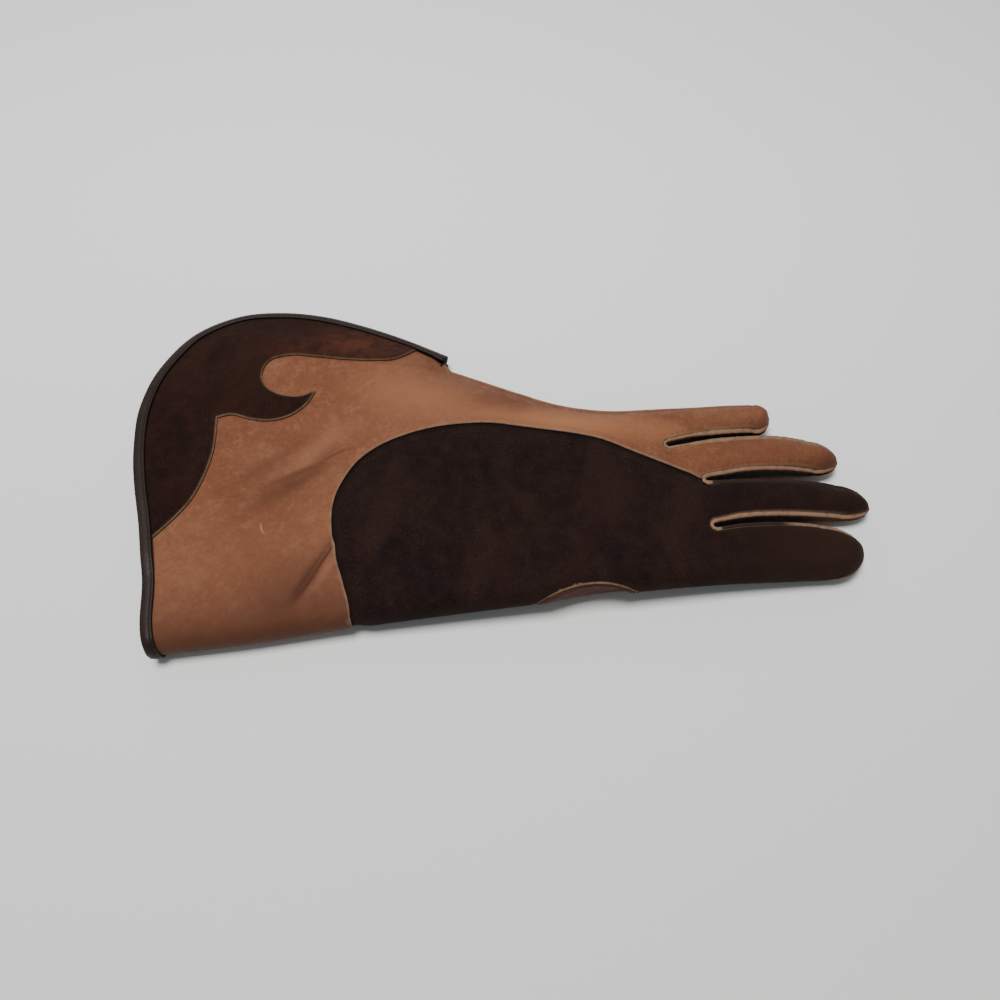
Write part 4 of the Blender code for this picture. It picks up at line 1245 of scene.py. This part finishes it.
# %% [markdown]
# ## The tan leather
#
# One hide makes the cuff, the outer half of the hand and two fingers. Its cut edge lies on the hand's
# suede and stays pale. Painted shade darkens the creases, the furrows beside the seams and the cuff's fold;
# it is a fact on the mesh from the folds' own shapes, not a picture.

# %% Cut and bend the tan leather
# How dark the painted shade in a crease gets and at what depth, and how dark the painted shade on the cuff's
# fold is and how far that reaches.
CREASE_SHADE = 0.75
DEEPEST = 2.2
FOLD_SHADE = 0.90
FOLD_SHADE_REACH = 30.0
CUFF_BEFORE_X = -60


def crease_shade(points):
    """Painted shade in the bottoms of the creases on the back."""
    plan = refolded(on_back(points))
    depth = -creases(plan[:, 0], plan[:, 1]) * (points[:, 1] > 0)
    return np.clip(depth / DEEPEST, 0, 1) * CREASE_SHADE


tan_cut = cut_piece(tan_outline, (), (Pressed(tan_seam, 0.8),))
press = pull(tan_cut.points, tan_seam, 0.10, 0.8)
in_fingers = np.clip((tan_cut.points[:, 0] + 30) / 20, 0, 1)
furrow, edge_press = edge_seam(tan_cut, 2.4, in_fingers)
press = press + edge_press
from_fold = tan_cut.points[:, 1] / FOLD_SHADE_REACH
shade = crease_shade(tan_cut.points) + 0.15 * furrow
shade = shade + FOLD_SHADE * np.exp(-(from_fold**2)) * (tan_cut.points[:, 0] < CUFF_BEFORE_X)
gap_sides = [
    flap_side(LITTLE, "near", RING), flap_side(RING, "far", RING), flap_side(RING, "near", MIDDLE),
    crotch_line(RING, LITTLE, FLAP_INSET),
]
rim_share = 0.15 + 0.2 * close_to(tan_cut.points, gap_sides) + 0.2 * close_to(tan_cut.points, [hand_curve])
rim_share = rim_share + 0.65 * close_to(tan_cut.points, [seam_edge()[:, :2]])
tan_body = sheet_of_leather(
    "tan_leather_body", tan_cut, "body_leather", "tan_leather", -TAN, 0.0, press, 1.0, rim_share,
    shade=shade, soot=0.0,
)
tan_body.data.materials.append(tan_leather)

# %% [markdown]
# ## The suede over the hand
#
# The suede wraps from the back round the fold to the palm, under the tan leather's edge. The thumb's
# opening is cut through it at the fold. Its edge there is pale, and so are the edges between the index
# and middle fingers, but the edge along the middle finger's far side is turned in and stays dark.

# %% Cut and bend the hand's suede
def sunk_under_tan(pattern):
    """How far the suede lies below its own level, so that it passes under the tan leather."""
    mirrored = on_back(pattern) + (0, 0.01)
    hand = np.vstack([hand_line, [(hand_line[-1, 0], 300), (300, 300), (300, 0)]])
    away = np.where(inside(mirrored, hand), to_line(mirrored, hand_line)[0], 0)
    share = np.clip(away / LEVEL_AFTER, 0, 1)
    return (TAN + SEWN_GAP) * (1 - share * share * (3 - 2 * share))


SEWN_GAP = 0.15
hole = thumb_hole()
suede_cut = cut_piece(suede_outline, (hole,), (Pressed(hand_seam, 0.9),))
press = sunk_under_tan(suede_cut.points) + pull(suede_cut.points, hand_seam, 0.30, 0.9)
furrow, edge_press = edge_seam(suede_cut, 2.2, suede_cut.points[:, 0] > 96)
press = press + edge_press
# The edge along the middle finger's far side lies beyond this line in plan, and it is turned in.
plan = refolded(on_back(suede_cut.points))
border = np.interp(plan[:, 0], (110, 130, 186), (-4.0, -8.0, -8.0))
raw = np.where((plan[:, 1] > border) & (plan[:, 0] > 118), 0.0, 1.0)
# Painted shade on the suede close under the tan leather's edge and in the seams' furrows.
near_tan = to_line(on_back(suede_cut.points), hand_line)[0]
shade = 0.7 * np.exp(-((near_tan / 1.6) ** 2)) + 0.4 * furrow
shade = shade + 0.10 * pull(suede_cut.points, hand_seam, 1.0, 0.9)
rim_share = 0.1 + 0.15 * close_to(suede_cut.points, [flap_side(MIDDLE, "near", INDEX)])
rim_share = rim_share + 0.1 * close_to(suede_cut.points, [flap_side(INDEX, "far", INDEX)])
rim_share = np.where(to_line(suede_cut.points, hole, True)[0] < 2, 1.0, rim_share)
hand_suede = sheet_of_leather(
    "suede_over_hand", suede_cut, "hand_suede", "dark_suede", -SUEDE, 0.0, press, raw, rim_share,
    shade=shade, rubbed=0.0,
)
hand_suede.data.materials.append(dark_suede)

# %% [markdown]
# ## The suede on the cuff
#
# A second piece of suede lies on top of the tan leather at the mouth, cut to a wave with a hook, a
# traditional saddler's ornament. It keeps the tan leather's own shape, so it is the same bent surface
# moved out by one thickness. Its nap is rubbed browner towards the open side.

# %% Cut and bend the cuff's suede
cuff_cut = cut_piece(cuff_outline, (), (Pressed(scroll_seam, 0.7),))
press = pull(cuff_cut.points, scroll_seam, 0.2, 0.7)
where = cuff_cut.points
rubbed = np.exp(-(((where[:, 0] + 86) / 42) ** 2 + ((where[:, 1] - 186) / 17) ** 2)) * 1.1
raw = np.clip(1.1 - 0.5 * ((where[:, 0] > -150) & (where[:, 1] > 166)), 0, 1)
cuff_piece = sheet_of_leather(
    "suede_on_cuff", cuff_cut, "cuff_overlay", "dark_suede", SEWN_GAP, SEWN_GAP + SUEDE, press,
    raw * 0.8, 0.2, shade=0.0, rubbed=rubbed,
)
cuff_piece.data.materials.append(cuff_suede)

# %% [markdown]
# ## The binding round the mouth
#
# A narrow strip is folded over the mouth's edge and sewn through. It is swept along the mouth: at each
# step the same rounded profile stands square to the edge, one leg on each face of the cuff. Where it
# runs up over the suede it stands a little further out, and it ends a little past the mouth.

# %% Sweep the binding
BINDING_ROUND = 0.25
NOSE = (72, 48, 24, 0, -24, -48, -72)


def swept(name, rings, node, facts=None):
    """A closed body through rings of equal length, with flat ends."""
    rings = np.asarray(rings, float)
    count, around = rings.shape[:2]
    faces = []
    for i in range(count - 1):
        for k in range(around):
            a, b = i * around + k, i * around + (k + 1) % around
            faces.append((a, b, b + around, a + around))
    first, last = rings[0].mean(0), rings[-1].mean(0)
    points = np.vstack([rings.reshape(-1, 3), first[None], last[None]])
    end = count * around
    for k in range(around):
        faces.append((end, (k + 1) % around, k))
        faces.append((end + 1, (count - 1) * around + k, (count - 1) * around + (k + 1) % around))
    facts = {fact: np.r_[np.ravel(v), 0, 0] for fact, v in (facts or {}).items()}
    return new_piece(name, points, faces, node, facts)


# The strip runs straight on past both ends of the mouth, and its legs grow longer towards them.
BINDING_PAST_END = (1.5, 3.0, 4.5, 5.8)
PAST_END = len(BINDING_PAST_END)
BINDING_FLARE = 2.0
FLARE_RUN = 26.0
mouth_path = both_halves(mouth)
ahead = headings(mouth_path)
inward = np.column_stack([-ahead[:, 1], ahead[:, 0]])
here = folded(mouth_path)
inner = folded(mouth_path + inward * BINDING_LEG)
to_edge = here - inner
to_edge /= np.linalg.norm(to_edge, axis=1)[:, None]
tangent = folded(mouth_path + ahead * 0.6) - here
out_of_face = np.cross(to_edge, tangent)
out_of_face /= np.linalg.norm(out_of_face, axis=1)[:, None]
start_v = unfolded(np.array([SCROLL[0][0]]))[0, 1]
climb = np.clip((mouth_path[:, 1] - start_v + BINDING_CLIMB_END) / BINDING_CLIMB, 0, 1)
before, after = here[0] - here[1], here[-1] - here[-2]
before, after = before / np.linalg.norm(before), after / np.linalg.norm(after)
reach_on = np.array(BINDING_PAST_END)[:, None]
here = np.vstack([here[0] + before * reach_on[::-1], here, here[-1] + after * reach_on])
to_edge, out_of_face, climb = (
    np.concatenate([values[:1].repeat(PAST_END, 0), values, values[-1:].repeat(PAST_END, 0)])
    for values in (to_edge, out_of_face, climb)
)
run = np.r_[0, np.cumsum(np.linalg.norm(np.diff(here, axis=0), axis=1))]
rings, shades = [], []
for p, e, n, share, s in zip(here, to_edge, out_of_face, climb, run):
    high = 0.3 + share * (SUEDE + SEWN_GAP + 0.1)
    low = -TAN - 0.3
    b = BINDING + 0.05 * math.cos(2 * math.pi * s / PITCH)
    to_end = min(s, run[-1] - s)
    leg = BINDING_LEG + BINDING_FLARE * max(0, 1 - to_end / FLARE_RUN) ** 1.5
    middle = (high + low) / 2
    half = (high - low) / 2 + b
    turn = np.radians(NOSE)
    nose = np.column_stack([0.2 + (b + 0.15) * np.cos(turn), middle + half * np.sin(turn)])
    # From the edge of the upper leg over its furrow to the nose, back along the lower leg and inside.
    profile = [
        (-leg, high), (-leg - 0.1, high + b * 0.5), (-leg + 0.35, high + b),
        (-leg * 0.8, high + b + BINDING_ROUND * 0.2), (-leg * 0.72, high + b - 0.22),
        (-leg * 0.6, high + b + BINDING_ROUND * 0.5), (-leg * 0.4, high + b + BINDING_ROUND),
        (-leg * 0.15, high + b + BINDING_ROUND * 0.6), *nose,
        (-leg * 0.3, low - b), (-leg * 0.7, low - b + 0.12), (-leg + 0.35, low - b),
        (-leg - 0.1, low - b * 0.5), (-leg, low), (0.1, low), (0.3, middle), (0.1, high),
    ]
    rings.append([p + e * x + n * y for x, y in profile])
    # Painted shade along the upper leg's edge and in its furrow.
    row = np.zeros(len(profile))
    row[[0, 1]] = 0.9
    row[4] = 0.45
    shades.append(row)
binding = swept("binding_strip", rings, "cuff_binding", {"shade": np.array(shades)})
binding.data.materials.append(binding_leather)

# %% [markdown]
# ## The walls between the fingers
#
# A glove finger has a narrow strip sewn in at each side, so that it isn't flat. Its raw edges stand
# together with the finger's own edge, outside, and show as a pale line along each gap. The strip runs
# along one finger, round the bottom of the gap, and back along the next.

# %% Sweep the side walls
WALL_RIM = ((0.0, 0.5), (0.15, 0.14), (0.5, 0.0), (0.95, 0.0), (1.3, 0.05), (1.5, 0.55))
LIP = 0.12
WALL_LEVELS = (0.75, 0.4, 0.0, -0.4, -0.75)
LEAN_AT_LEVEL = (0.7, 0.25, 0.0, 0.25, 0.7)
# How far the sides lean over the gap, where the lean begins, up to where painted shade fills the bottom of
# the gap, from where light falls into it, and how pale the edges stay at the tips.
WallLook = namedtuple("WallLook", "upper_lean lower_lean closing sooty_until light_from tip_raw")


def tip_quarter(finger, side, inset=0.0):
    """The finger's outline from the end of one straight side to the tip."""
    last = finger.stations[-1]
    start = last.near + inset if side == "near" else last.far - inset
    return quarter_ellipse((last.x, start), (finger.tip_x, finger.tip_y), 15)


def side_wall(lower, upper, look):
    """The strip between two fingers, with rounded raw edges above and below that lean over the gap."""
    start = lower.crotch
    lines = [
        tip_quarter(upper, "near")[::-1], side_line(upper, "near", 0, start)[::-1],
        crotch_line(lower, upper, 0), side_line(lower, "far", 0, start), tip_quarter(lower, "far"),
    ]
    path = refolded(sewn(lines))
    ahead = headings(path)
    away = np.column_stack([ahead[:, 1], -ahead[:, 0]])
    bend = int(np.argmin(path[:, 0]))
    on_upper = np.arange(len(path)) < bend
    x = path[:, 0]
    half = np.where(
        on_upper & (x > start + 0.1), side_half_height(x, upper, start), side_half_height(x, lower, start)
    )
    taper = np.ones(len(path))
    for finger, there in ((upper, on_upper), (lower, ~on_upper)):
        last = finger.stations[-1].x
        to_tip = np.clip((x - last) / (finger.tip_x - last), 0, 1)
        taper = np.where(there, np.sqrt(1 - to_tip**2), taper)
    gap = smooth(x, column(upper.stations, "x"), column(upper.stations, "near"))
    gap = gap - smooth(x, column(lower.stations, "x"), column(lower.stations, "far"))
    free = np.clip(gap / 2 - 0.35, 0, 3)
    closing = np.clip((x - look.closing) / 12, 0, 1)
    lean = np.minimum(np.where(on_upper, look.upper_lean, look.lower_lean) * closing, free) * taper
    middle = middle_height(x)
    along = np.r_[0, np.cumsum(np.hypot(*np.diff(path, axis=0).T))]
    ragged = 0.10 * np.sin(along * 2.1) + 0.08 * np.sin(along * 5.3 + 1)
    fray = 0.12 * np.sin(along * 1.3) + 0.10 * np.sin(along * 3.7 + 2)
    gap_side = [(0.0, -level, 0.0, tilt) for level, tilt in zip(WALL_LEVELS, LEAN_AT_LEVEL)]
    profile = [(t, 1.0, drop, 1 - t) for t, drop in WALL_RIM]
    profile += [(1.0, level, 0.0, 0.0) for level in WALL_LEVELS]
    profile += [(t, -1.0, drop, 1 - t) for t, drop in WALL_RIM[::-1]] + gap_side
    rings, raws, gap_shades = [], [], []
    for k, (p, a, m, h) in enumerate(zip(path, away, middle, half)):
        reach = (h + LIP + ragged[k] * 0.7 - 0.15 * lean[k]) * (0.55 + 0.45 * taper[k])
        wide = SIDE_WALL * max(taper[k], 0.1)
        tilt = lean[k] + max(fray[k], 0) * (lean[k] > 0)
        # Painted shade darkens the edges near the bottom of the gap and the inner face where no light falls;
        # the rims are painted paler where light falls in.
        gap_shade_share = (k > bend + 3) * np.clip((look.sooty_until - x[k]) / 9, 0, 1)
        pale = (0.85 - 0.72 * gap_shade_share) * (look.tip_raw + (1 - look.tip_raw) * taper[k] ** 3)
        near_light = np.clip((x[k] - look.light_from) / 14, 0, 1)
        tip_gap_shade = np.clip((0.85 - taper[k]) / 0.3, 0, 1) * (look.tip_raw > 0.5)
        end_gap_shade = np.clip((0.55 - taper[k]) / 0.25, 0, 1) * (look.tip_raw > 0.5)
        inner_gap_shade = max(1.0 - 0.85 * near_light, tip_gap_shade)
        for t, level, drop, share in profile:
            rings.append((*(p + a * (wide * t - tilt * share)), m + level * (reach - drop)))
            if abs(level) == 1:
                raws.append(pale * (0.35 + 0.5 * near_light if t < 0.2 else 1.0))
                gap_shades.append(max(0.9 * gap_shade_share, end_gap_shade))
            else:
                raws.append(0.3 * pale * (abs(level) > 0.7))
                gap_shades.append(inner_gap_shade if abs(level) < 0.7 else 0.35 * inner_gap_shade)
    rings = np.array(rings).reshape(len(path), len(profile), 3)
    raws, gap_shades = np.array(raws), np.array(gap_shades)
    name = f"side_wall_{lower.name}_{upper.name}"
    facts = {"raw": raws, "shade": np.where(raws > 0.2, 0.0, 0.3), "soot": gap_shades}
    piece = swept(f"strip_{lower.name}_{upper.name}", rings, name, facts)
    piece.data.materials.append(tan_leather)
    return piece


walls = [
    side_wall(RING, LITTLE, WallLook(0.9, 0.8, 106, 0, 400, 0.0)),
    side_wall(MIDDLE, RING, WallLook(0.5, 0.5, 100, 400, 400, 0.0)),
    side_wall(INDEX, MIDDLE, WallLook(0.6, 0.3, 110, 158, 162, 0.9)),
]
print(len(walls), "strips between fingers")

# %% [markdown]
# ## The thumb
#
# The thumb comes out of its opening at the fold, turns under the palm and lies flat there, so the photo
# shows only its root, but it is made whole. It is a skin over rings: the first two follow the opening,
# the last ones are flattened ovals, and a smooth curve is laid through all of them.

# %% Loft the thumb
THUMB_AROUND = 72
THUMB_FINE = 5


def thumb_section(row):
    """One section of the thumb, from the middle of its top over the near side to its underside."""
    angle = np.linspace(0, 2 * math.pi, THUMB_AROUND, endpoint=False)
    side, up = np.sin(angle), np.cos(angle)
    across = np.sign(side) * np.abs(side) ** THUMB_SQUARENESS * (row.far - row.near) / 2
    height = np.sign(up) * np.abs(up) ** THUMB_SQUARENESS * (row.top - row.bottom) / 2
    y = (row.near + row.far) / 2 - across
    z = (row.top + row.bottom) / 2 + height
    return np.column_stack([np.full(THUMB_AROUND, row.x), y, z])


def surface_and_normal(pattern):
    """Points of the glove's outer face over pattern points, and the directions out of it."""
    here = folded(pattern)
    along = folded(pattern + (0.3, 0.0)) - folded(pattern - (0.3, 0.0))
    round_fold = folded(pattern + (0.0, 0.3)) - folded(pattern - (0.0, 0.3))
    normal = np.cross(along, round_fold)
    return here, normal / np.linalg.norm(normal, axis=1)[:, None]


opening, outward = surface_and_normal(thumb_hole(-0.35, THUMB_AROUND))
knots = [opening + outward * d for d in (-SUEDE, -0.5)]
begin, finish = opening + outward * 0.3, thumb_section(THUMB[0])
begin = begin * 0.965 + begin.mean(0) * 0.035
bend = begin + (finish - begin) * 0.35
bend[:, 2] = begin[:, 2] * THUMB_HANG
knots.append(begin)
for t in THUMB_STAGES:
    knots.append(begin * (1 - t) ** 2 + bend * 2 * t * (1 - t) + finish * t**2)
knots += [thumb_section(row) for row in THUMB]
tip = np.array(THUMB_TIP)
last_section = knots[-1]
knots += [tip + (last_section - tip) * share for share in THUMB_TIP_SHARES]
knots = np.array(knots)
steps = np.linalg.norm(np.diff(knots.mean(1), axis=0), axis=1) + 0.5
at = np.r_[0, np.cumsum(steps)]
wanted = np.unique(np.concatenate([np.linspace(a, b, THUMB_FINE) for a, b in zip(at[:-1], at[1:])]))
skin = np.stack([[smooth(wanted, at, knots[:, k, c]) for c in range(3)] for k in range(THUMB_AROUND)])
skin = skin.transpose(2, 0, 1)
rows, around = skin.shape[:2]
round_skin = np.sin(np.arange(around) / around * 2 * math.pi * 2 + 1)
wrinkle = 0.25 * np.sin(wanted * 0.9)[:, None] * round_skin[None]
faces = []
for i in range(rows - 1):
    for k in range(around):
        a, b = i * around + k, i * around + (k + 1) % around
        faces += [(a, b, b + around), (a, b + around, a + around)]
last = (rows - 1) * around
faces += [(last + k, last + (k + 1) % around, rows * around) for k in range(around)]
points = np.vstack([skin.reshape(-1, 3), tip[None]])
up = normals_of(points, np.array(faces))
free_rows = np.repeat(np.clip((np.arange(rows) - 2 * THUMB_FINE) / 10, 0, 1), around)
relief = np.r_[(wrinkle.ravel() * free_rows), 0]
relief = np.minimum(relief, (points[:, 2] - 0.02) * 0.5)
outer = points + up * np.where(up[:, 2] < -0.5, -np.abs(relief), relief)[:, None]
outer[:, 2] = np.maximum(outer[:, 2], 0.0)
inner = points - up * THUMB_WALL
n = len(points)
mesh_faces = list(faces) + [tuple(v + n for v in f[::-1]) for f in faces]
mesh_faces += [((k + 1) % around, k, k + n, (k + 1) % around + n) for k in range(around)]
# Painted shade on the thumb's root, where it comes out of the opening under the fold.
root = np.repeat(np.clip(1 - np.arange(rows) / (2 * THUMB_FINE), 0, 1), around)
thumb = new_piece(
    "thumb_skin", np.vstack([outer, inner]), mesh_faces, "thumb",
    {"raw": np.zeros(2 * n), "shade": np.r_[root * 0.6, 0, np.zeros(n)]},
)
thumb.data.materials.append(thumb_leather)

# %% [markdown]
# ## Stitches
#
# A stitch is one small grain of thread, and a glove has hundreds. Geometry Nodes set one on each step of
# a guide line: the line becomes a curve, the curve is measured out into even steps, and each step gets a
# grain turned along the line and lying flat on the leather. The guide carries the leather's own direction
# at every point, so that one tree serves every seam. A fixed seed makes each thread a little different.

# %% The tree that sews
def sewing_tree():
    tree = bpy.data.node_groups.new("sewn_row", "GeometryNodeTree")
    tree.is_modifier = True
    face = tree.interface
    face.new_socket("Guide", in_out="INPUT", socket_type="NodeSocketGeometry")
    for name in ("Pitch", "Length", "Width", "Height"):
        face.new_socket(name, in_out="INPUT", socket_type="NodeSocketFloat")
    face.new_socket("Seed", in_out="INPUT", socket_type="NodeSocketInt")
    face.new_socket("Thread", in_out="INPUT", socket_type="NodeSocketMaterial")
    face.new_socket("Stitches", in_out="OUTPUT", socket_type="NodeSocketGeometry")

    def put(kind, links=None, **settings):
        node = tree.nodes.new(kind)
        for key, value in settings.items():
            setattr(node, key, value)
        for socket, source in (links or {}).items():
            tree.links.new(source, node.inputs[socket])
        return node

    given = put("NodeGroupInput").outputs
    curve = put("GeometryNodeMeshToCurve", {"Mesh": given["Guide"]})
    wires = {"Curve": curve.outputs[0], "Length": given["Pitch"]}
    steps = put("GeometryNodeResampleCurve", wires, mode="LENGTH")
    grain = put("GeometryNodeMeshUVSphere")
    grain.inputs["Segments"].default_value = 8
    grain.inputs["Rings"].default_value = 6
    grain.inputs["Radius"].default_value = 0.5
    rounded = put("GeometryNodeSetShadeSmooth", {"Geometry": grain.outputs["Mesh"]})
    tangent = put("GeometryNodeInputTangent")
    up = put("GeometryNodeInputNamedAttribute", data_type="FLOAT_VECTOR")
    up.inputs["Name"].default_value = "up"
    flat = put("FunctionNodeAlignRotationToVector", {"Vector": up.outputs["Attribute"]}, axis="Z")
    along = put(
        "FunctionNodeAlignRotationToVector",
        {"Rotation": flat.outputs[0], "Vector": tangent.outputs[0]}, axis="X", pivot_axis="Z",
    )
    spread = put("FunctionNodeRandomValue", {"Seed": given["Seed"]}, data_type="FLOAT")
    spread.inputs[2].default_value, spread.inputs[3].default_value = -0.10, 0.10
    twist = put("ShaderNodeCombineXYZ", {"Z": spread.outputs[1]})
    turned = put("FunctionNodeRotateRotation", {"Rotation": along.outputs[0]}, rotation_space="LOCAL")
    to_rotation = put("FunctionNodeEulerToRotation", {0: twist.outputs[0]})
    tree.links.new(to_rotation.outputs[0], turned.inputs[1])
    size = put("ShaderNodeCombineXYZ", {"X": given["Length"], "Y": given["Width"], "Z": given["Height"]})
    sown = put("GeometryNodeInstanceOnPoints", {
        "Points": steps.outputs[0], "Instance": rounded.outputs[0],
        "Rotation": turned.outputs[0], "Scale": size.outputs[0],
    })
    real = put("GeometryNodeRealizeInstances", {"Geometry": sown.outputs[0]})
    coloured = put("GeometryNodeSetMaterial", {"Geometry": real.outputs[0], "Material": given["Thread"]})
    put("NodeGroupOutput", {"Stitches": coloured.outputs[0]})
    return tree


SEWING = sewing_tree()
SOCKETS = {item.name: item.identifier for item in SEWING.interface.items_tree if item.in_out == "INPUT"}
print("the sewing tree takes", list(SOCKETS))

# %% Sewing along a guide
def sew(name, guides, thread, slot, seed, *sizes):
    """Stitches along guide lines, each given as points and the leather's direction at them.

    The sizes are the pitch and the stitch's length, width and height in millimetres.
    """
    points, ups, edges = [], [], []
    for line, up in guides:
        first = len(points)
        points += placed(line).tolist()
        ups += np.asarray(up, float).tolist()
        edges += [(first + k, first + k + 1) for k in range(len(line) - 1)]
    mesh = bpy.data.meshes.new(name + "_guide")
    mesh.from_pydata(points, edges, [])
    mesh.attributes.new("up", "FLOAT_VECTOR", "POINT").data.foreach_set("vector", np.ravel(ups))
    guide = bpy.data.objects.new(name + "_guide", mesh)
    bpy.context.scene.collection.objects.link(guide)
    sewing = guide.modifiers.new("sewing", "NODES")
    sewing.node_group = SEWING
    sewing[SOCKETS["Thread"]] = thread
    sewing[SOCKETS["Seed"]] = seed
    for size, value in zip(("Pitch", "Length", "Width", "Height"), sizes):
        sewing[SOCKETS[size]] = value * MM
    graph = bpy.context.evaluated_depsgraph_get()
    made = bpy.data.meshes.new_from_object(guide.evaluated_get(graph))
    bpy.data.objects.remove(guide)
    row = bpy.data.objects.new(name, made)
    bpy.context.scene.collection.objects.link(row)
    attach(row, "root")
    print(name, len(made.polygons), "faces")


def on_leather(line, lift):
    """A guide along a pattern line, at a height above the outer face."""
    here, up = surface_and_normal(line)
    return here + up * lift, up


def halves(line, lift):
    """Guides along the same line on the back and on the palm."""
    return [on_leather(line, lift), on_leather(line * (1, -1), lift)]


hand_rows = halves(spaced(hand_seam), -0.26)
sew("stitches_hand", hand_rows, dark_thread, "dark_suede", 3, PITCH, STITCH, 0.7, 0.4)
scroll_up = on_leather(spaced(scroll_seam), SEWN_GAP + SUEDE - 0.12)
sew("stitches_cuff_suede", [scroll_up], dark_thread, "dark_suede", 5, 3.2, 1.6, 0.45, 0.3)

# %% Seams of the fingers and of the open side
def inside_edge(line, inset):
    """A seam line that runs beside a cut edge of the fingers, on the pattern."""
    laid = spaced(unfolded(line[:, :2]))
    return beside(laid, inset)[2:-2]


def finger_row(finger, side, lower):
    """Guides beside a finger's edge. Along the near side the line runs from the tip to the gap."""
    line = flap_side(finger, side, lower)
    return halves(inside_edge(line[::-1] if side == "near" else line, -2.2), -0.16)


outer_seam = inside_edge(np.vstack([seam_edge()[:, :2], side_line(LITTLE, "far", 0, 88)]), -2.4)
tan_rows = finger_row(LITTLE, "near", RING) + finger_row(RING, "near", MIDDLE) + finger_row(RING, "far", RING)
dark_rows = finger_row(MIDDLE, "far", MIDDLE) + finger_row(MIDDLE, "near", INDEX)
dark_rows += finger_row(INDEX, "far", INDEX)
sew("stitches_open_side", halves(outer_seam, -0.18), brown_thread, "tan_leather", 6, 3.2, 1.7, 0.45, 0.3)
sew("stitches_tan_fingers", tan_rows, brown_thread, "tan_leather", 7, 3.0, 1.5, 0.4, 0.28)
sew("stitches_dark_fingers", dark_rows, dark_thread, "dark_suede", 8, 3.0, 1.5, 0.4, 0.28)

# %% Binding stitches
binding_row, binding_up = [], []
for p, e, n, share in zip(here, to_edge, out_of_face, climb):
    high = 0.3 + share * (SUEDE + SEWN_GAP + 0.1) + BINDING
    binding_row.append(p - e * BINDING_LEG * 0.72 + n * (high - 0.12))
    binding_up.append(n)
sewn_part = slice(2 * PAST_END, -2 * PAST_END)
guide = (np.array(binding_row)[sewn_part], np.array(binding_up)[sewn_part])
sew("stitches_binding", [guide], dark_thread, "binding_leather", 9, PITCH, 2.6, 0.6, 0.35)
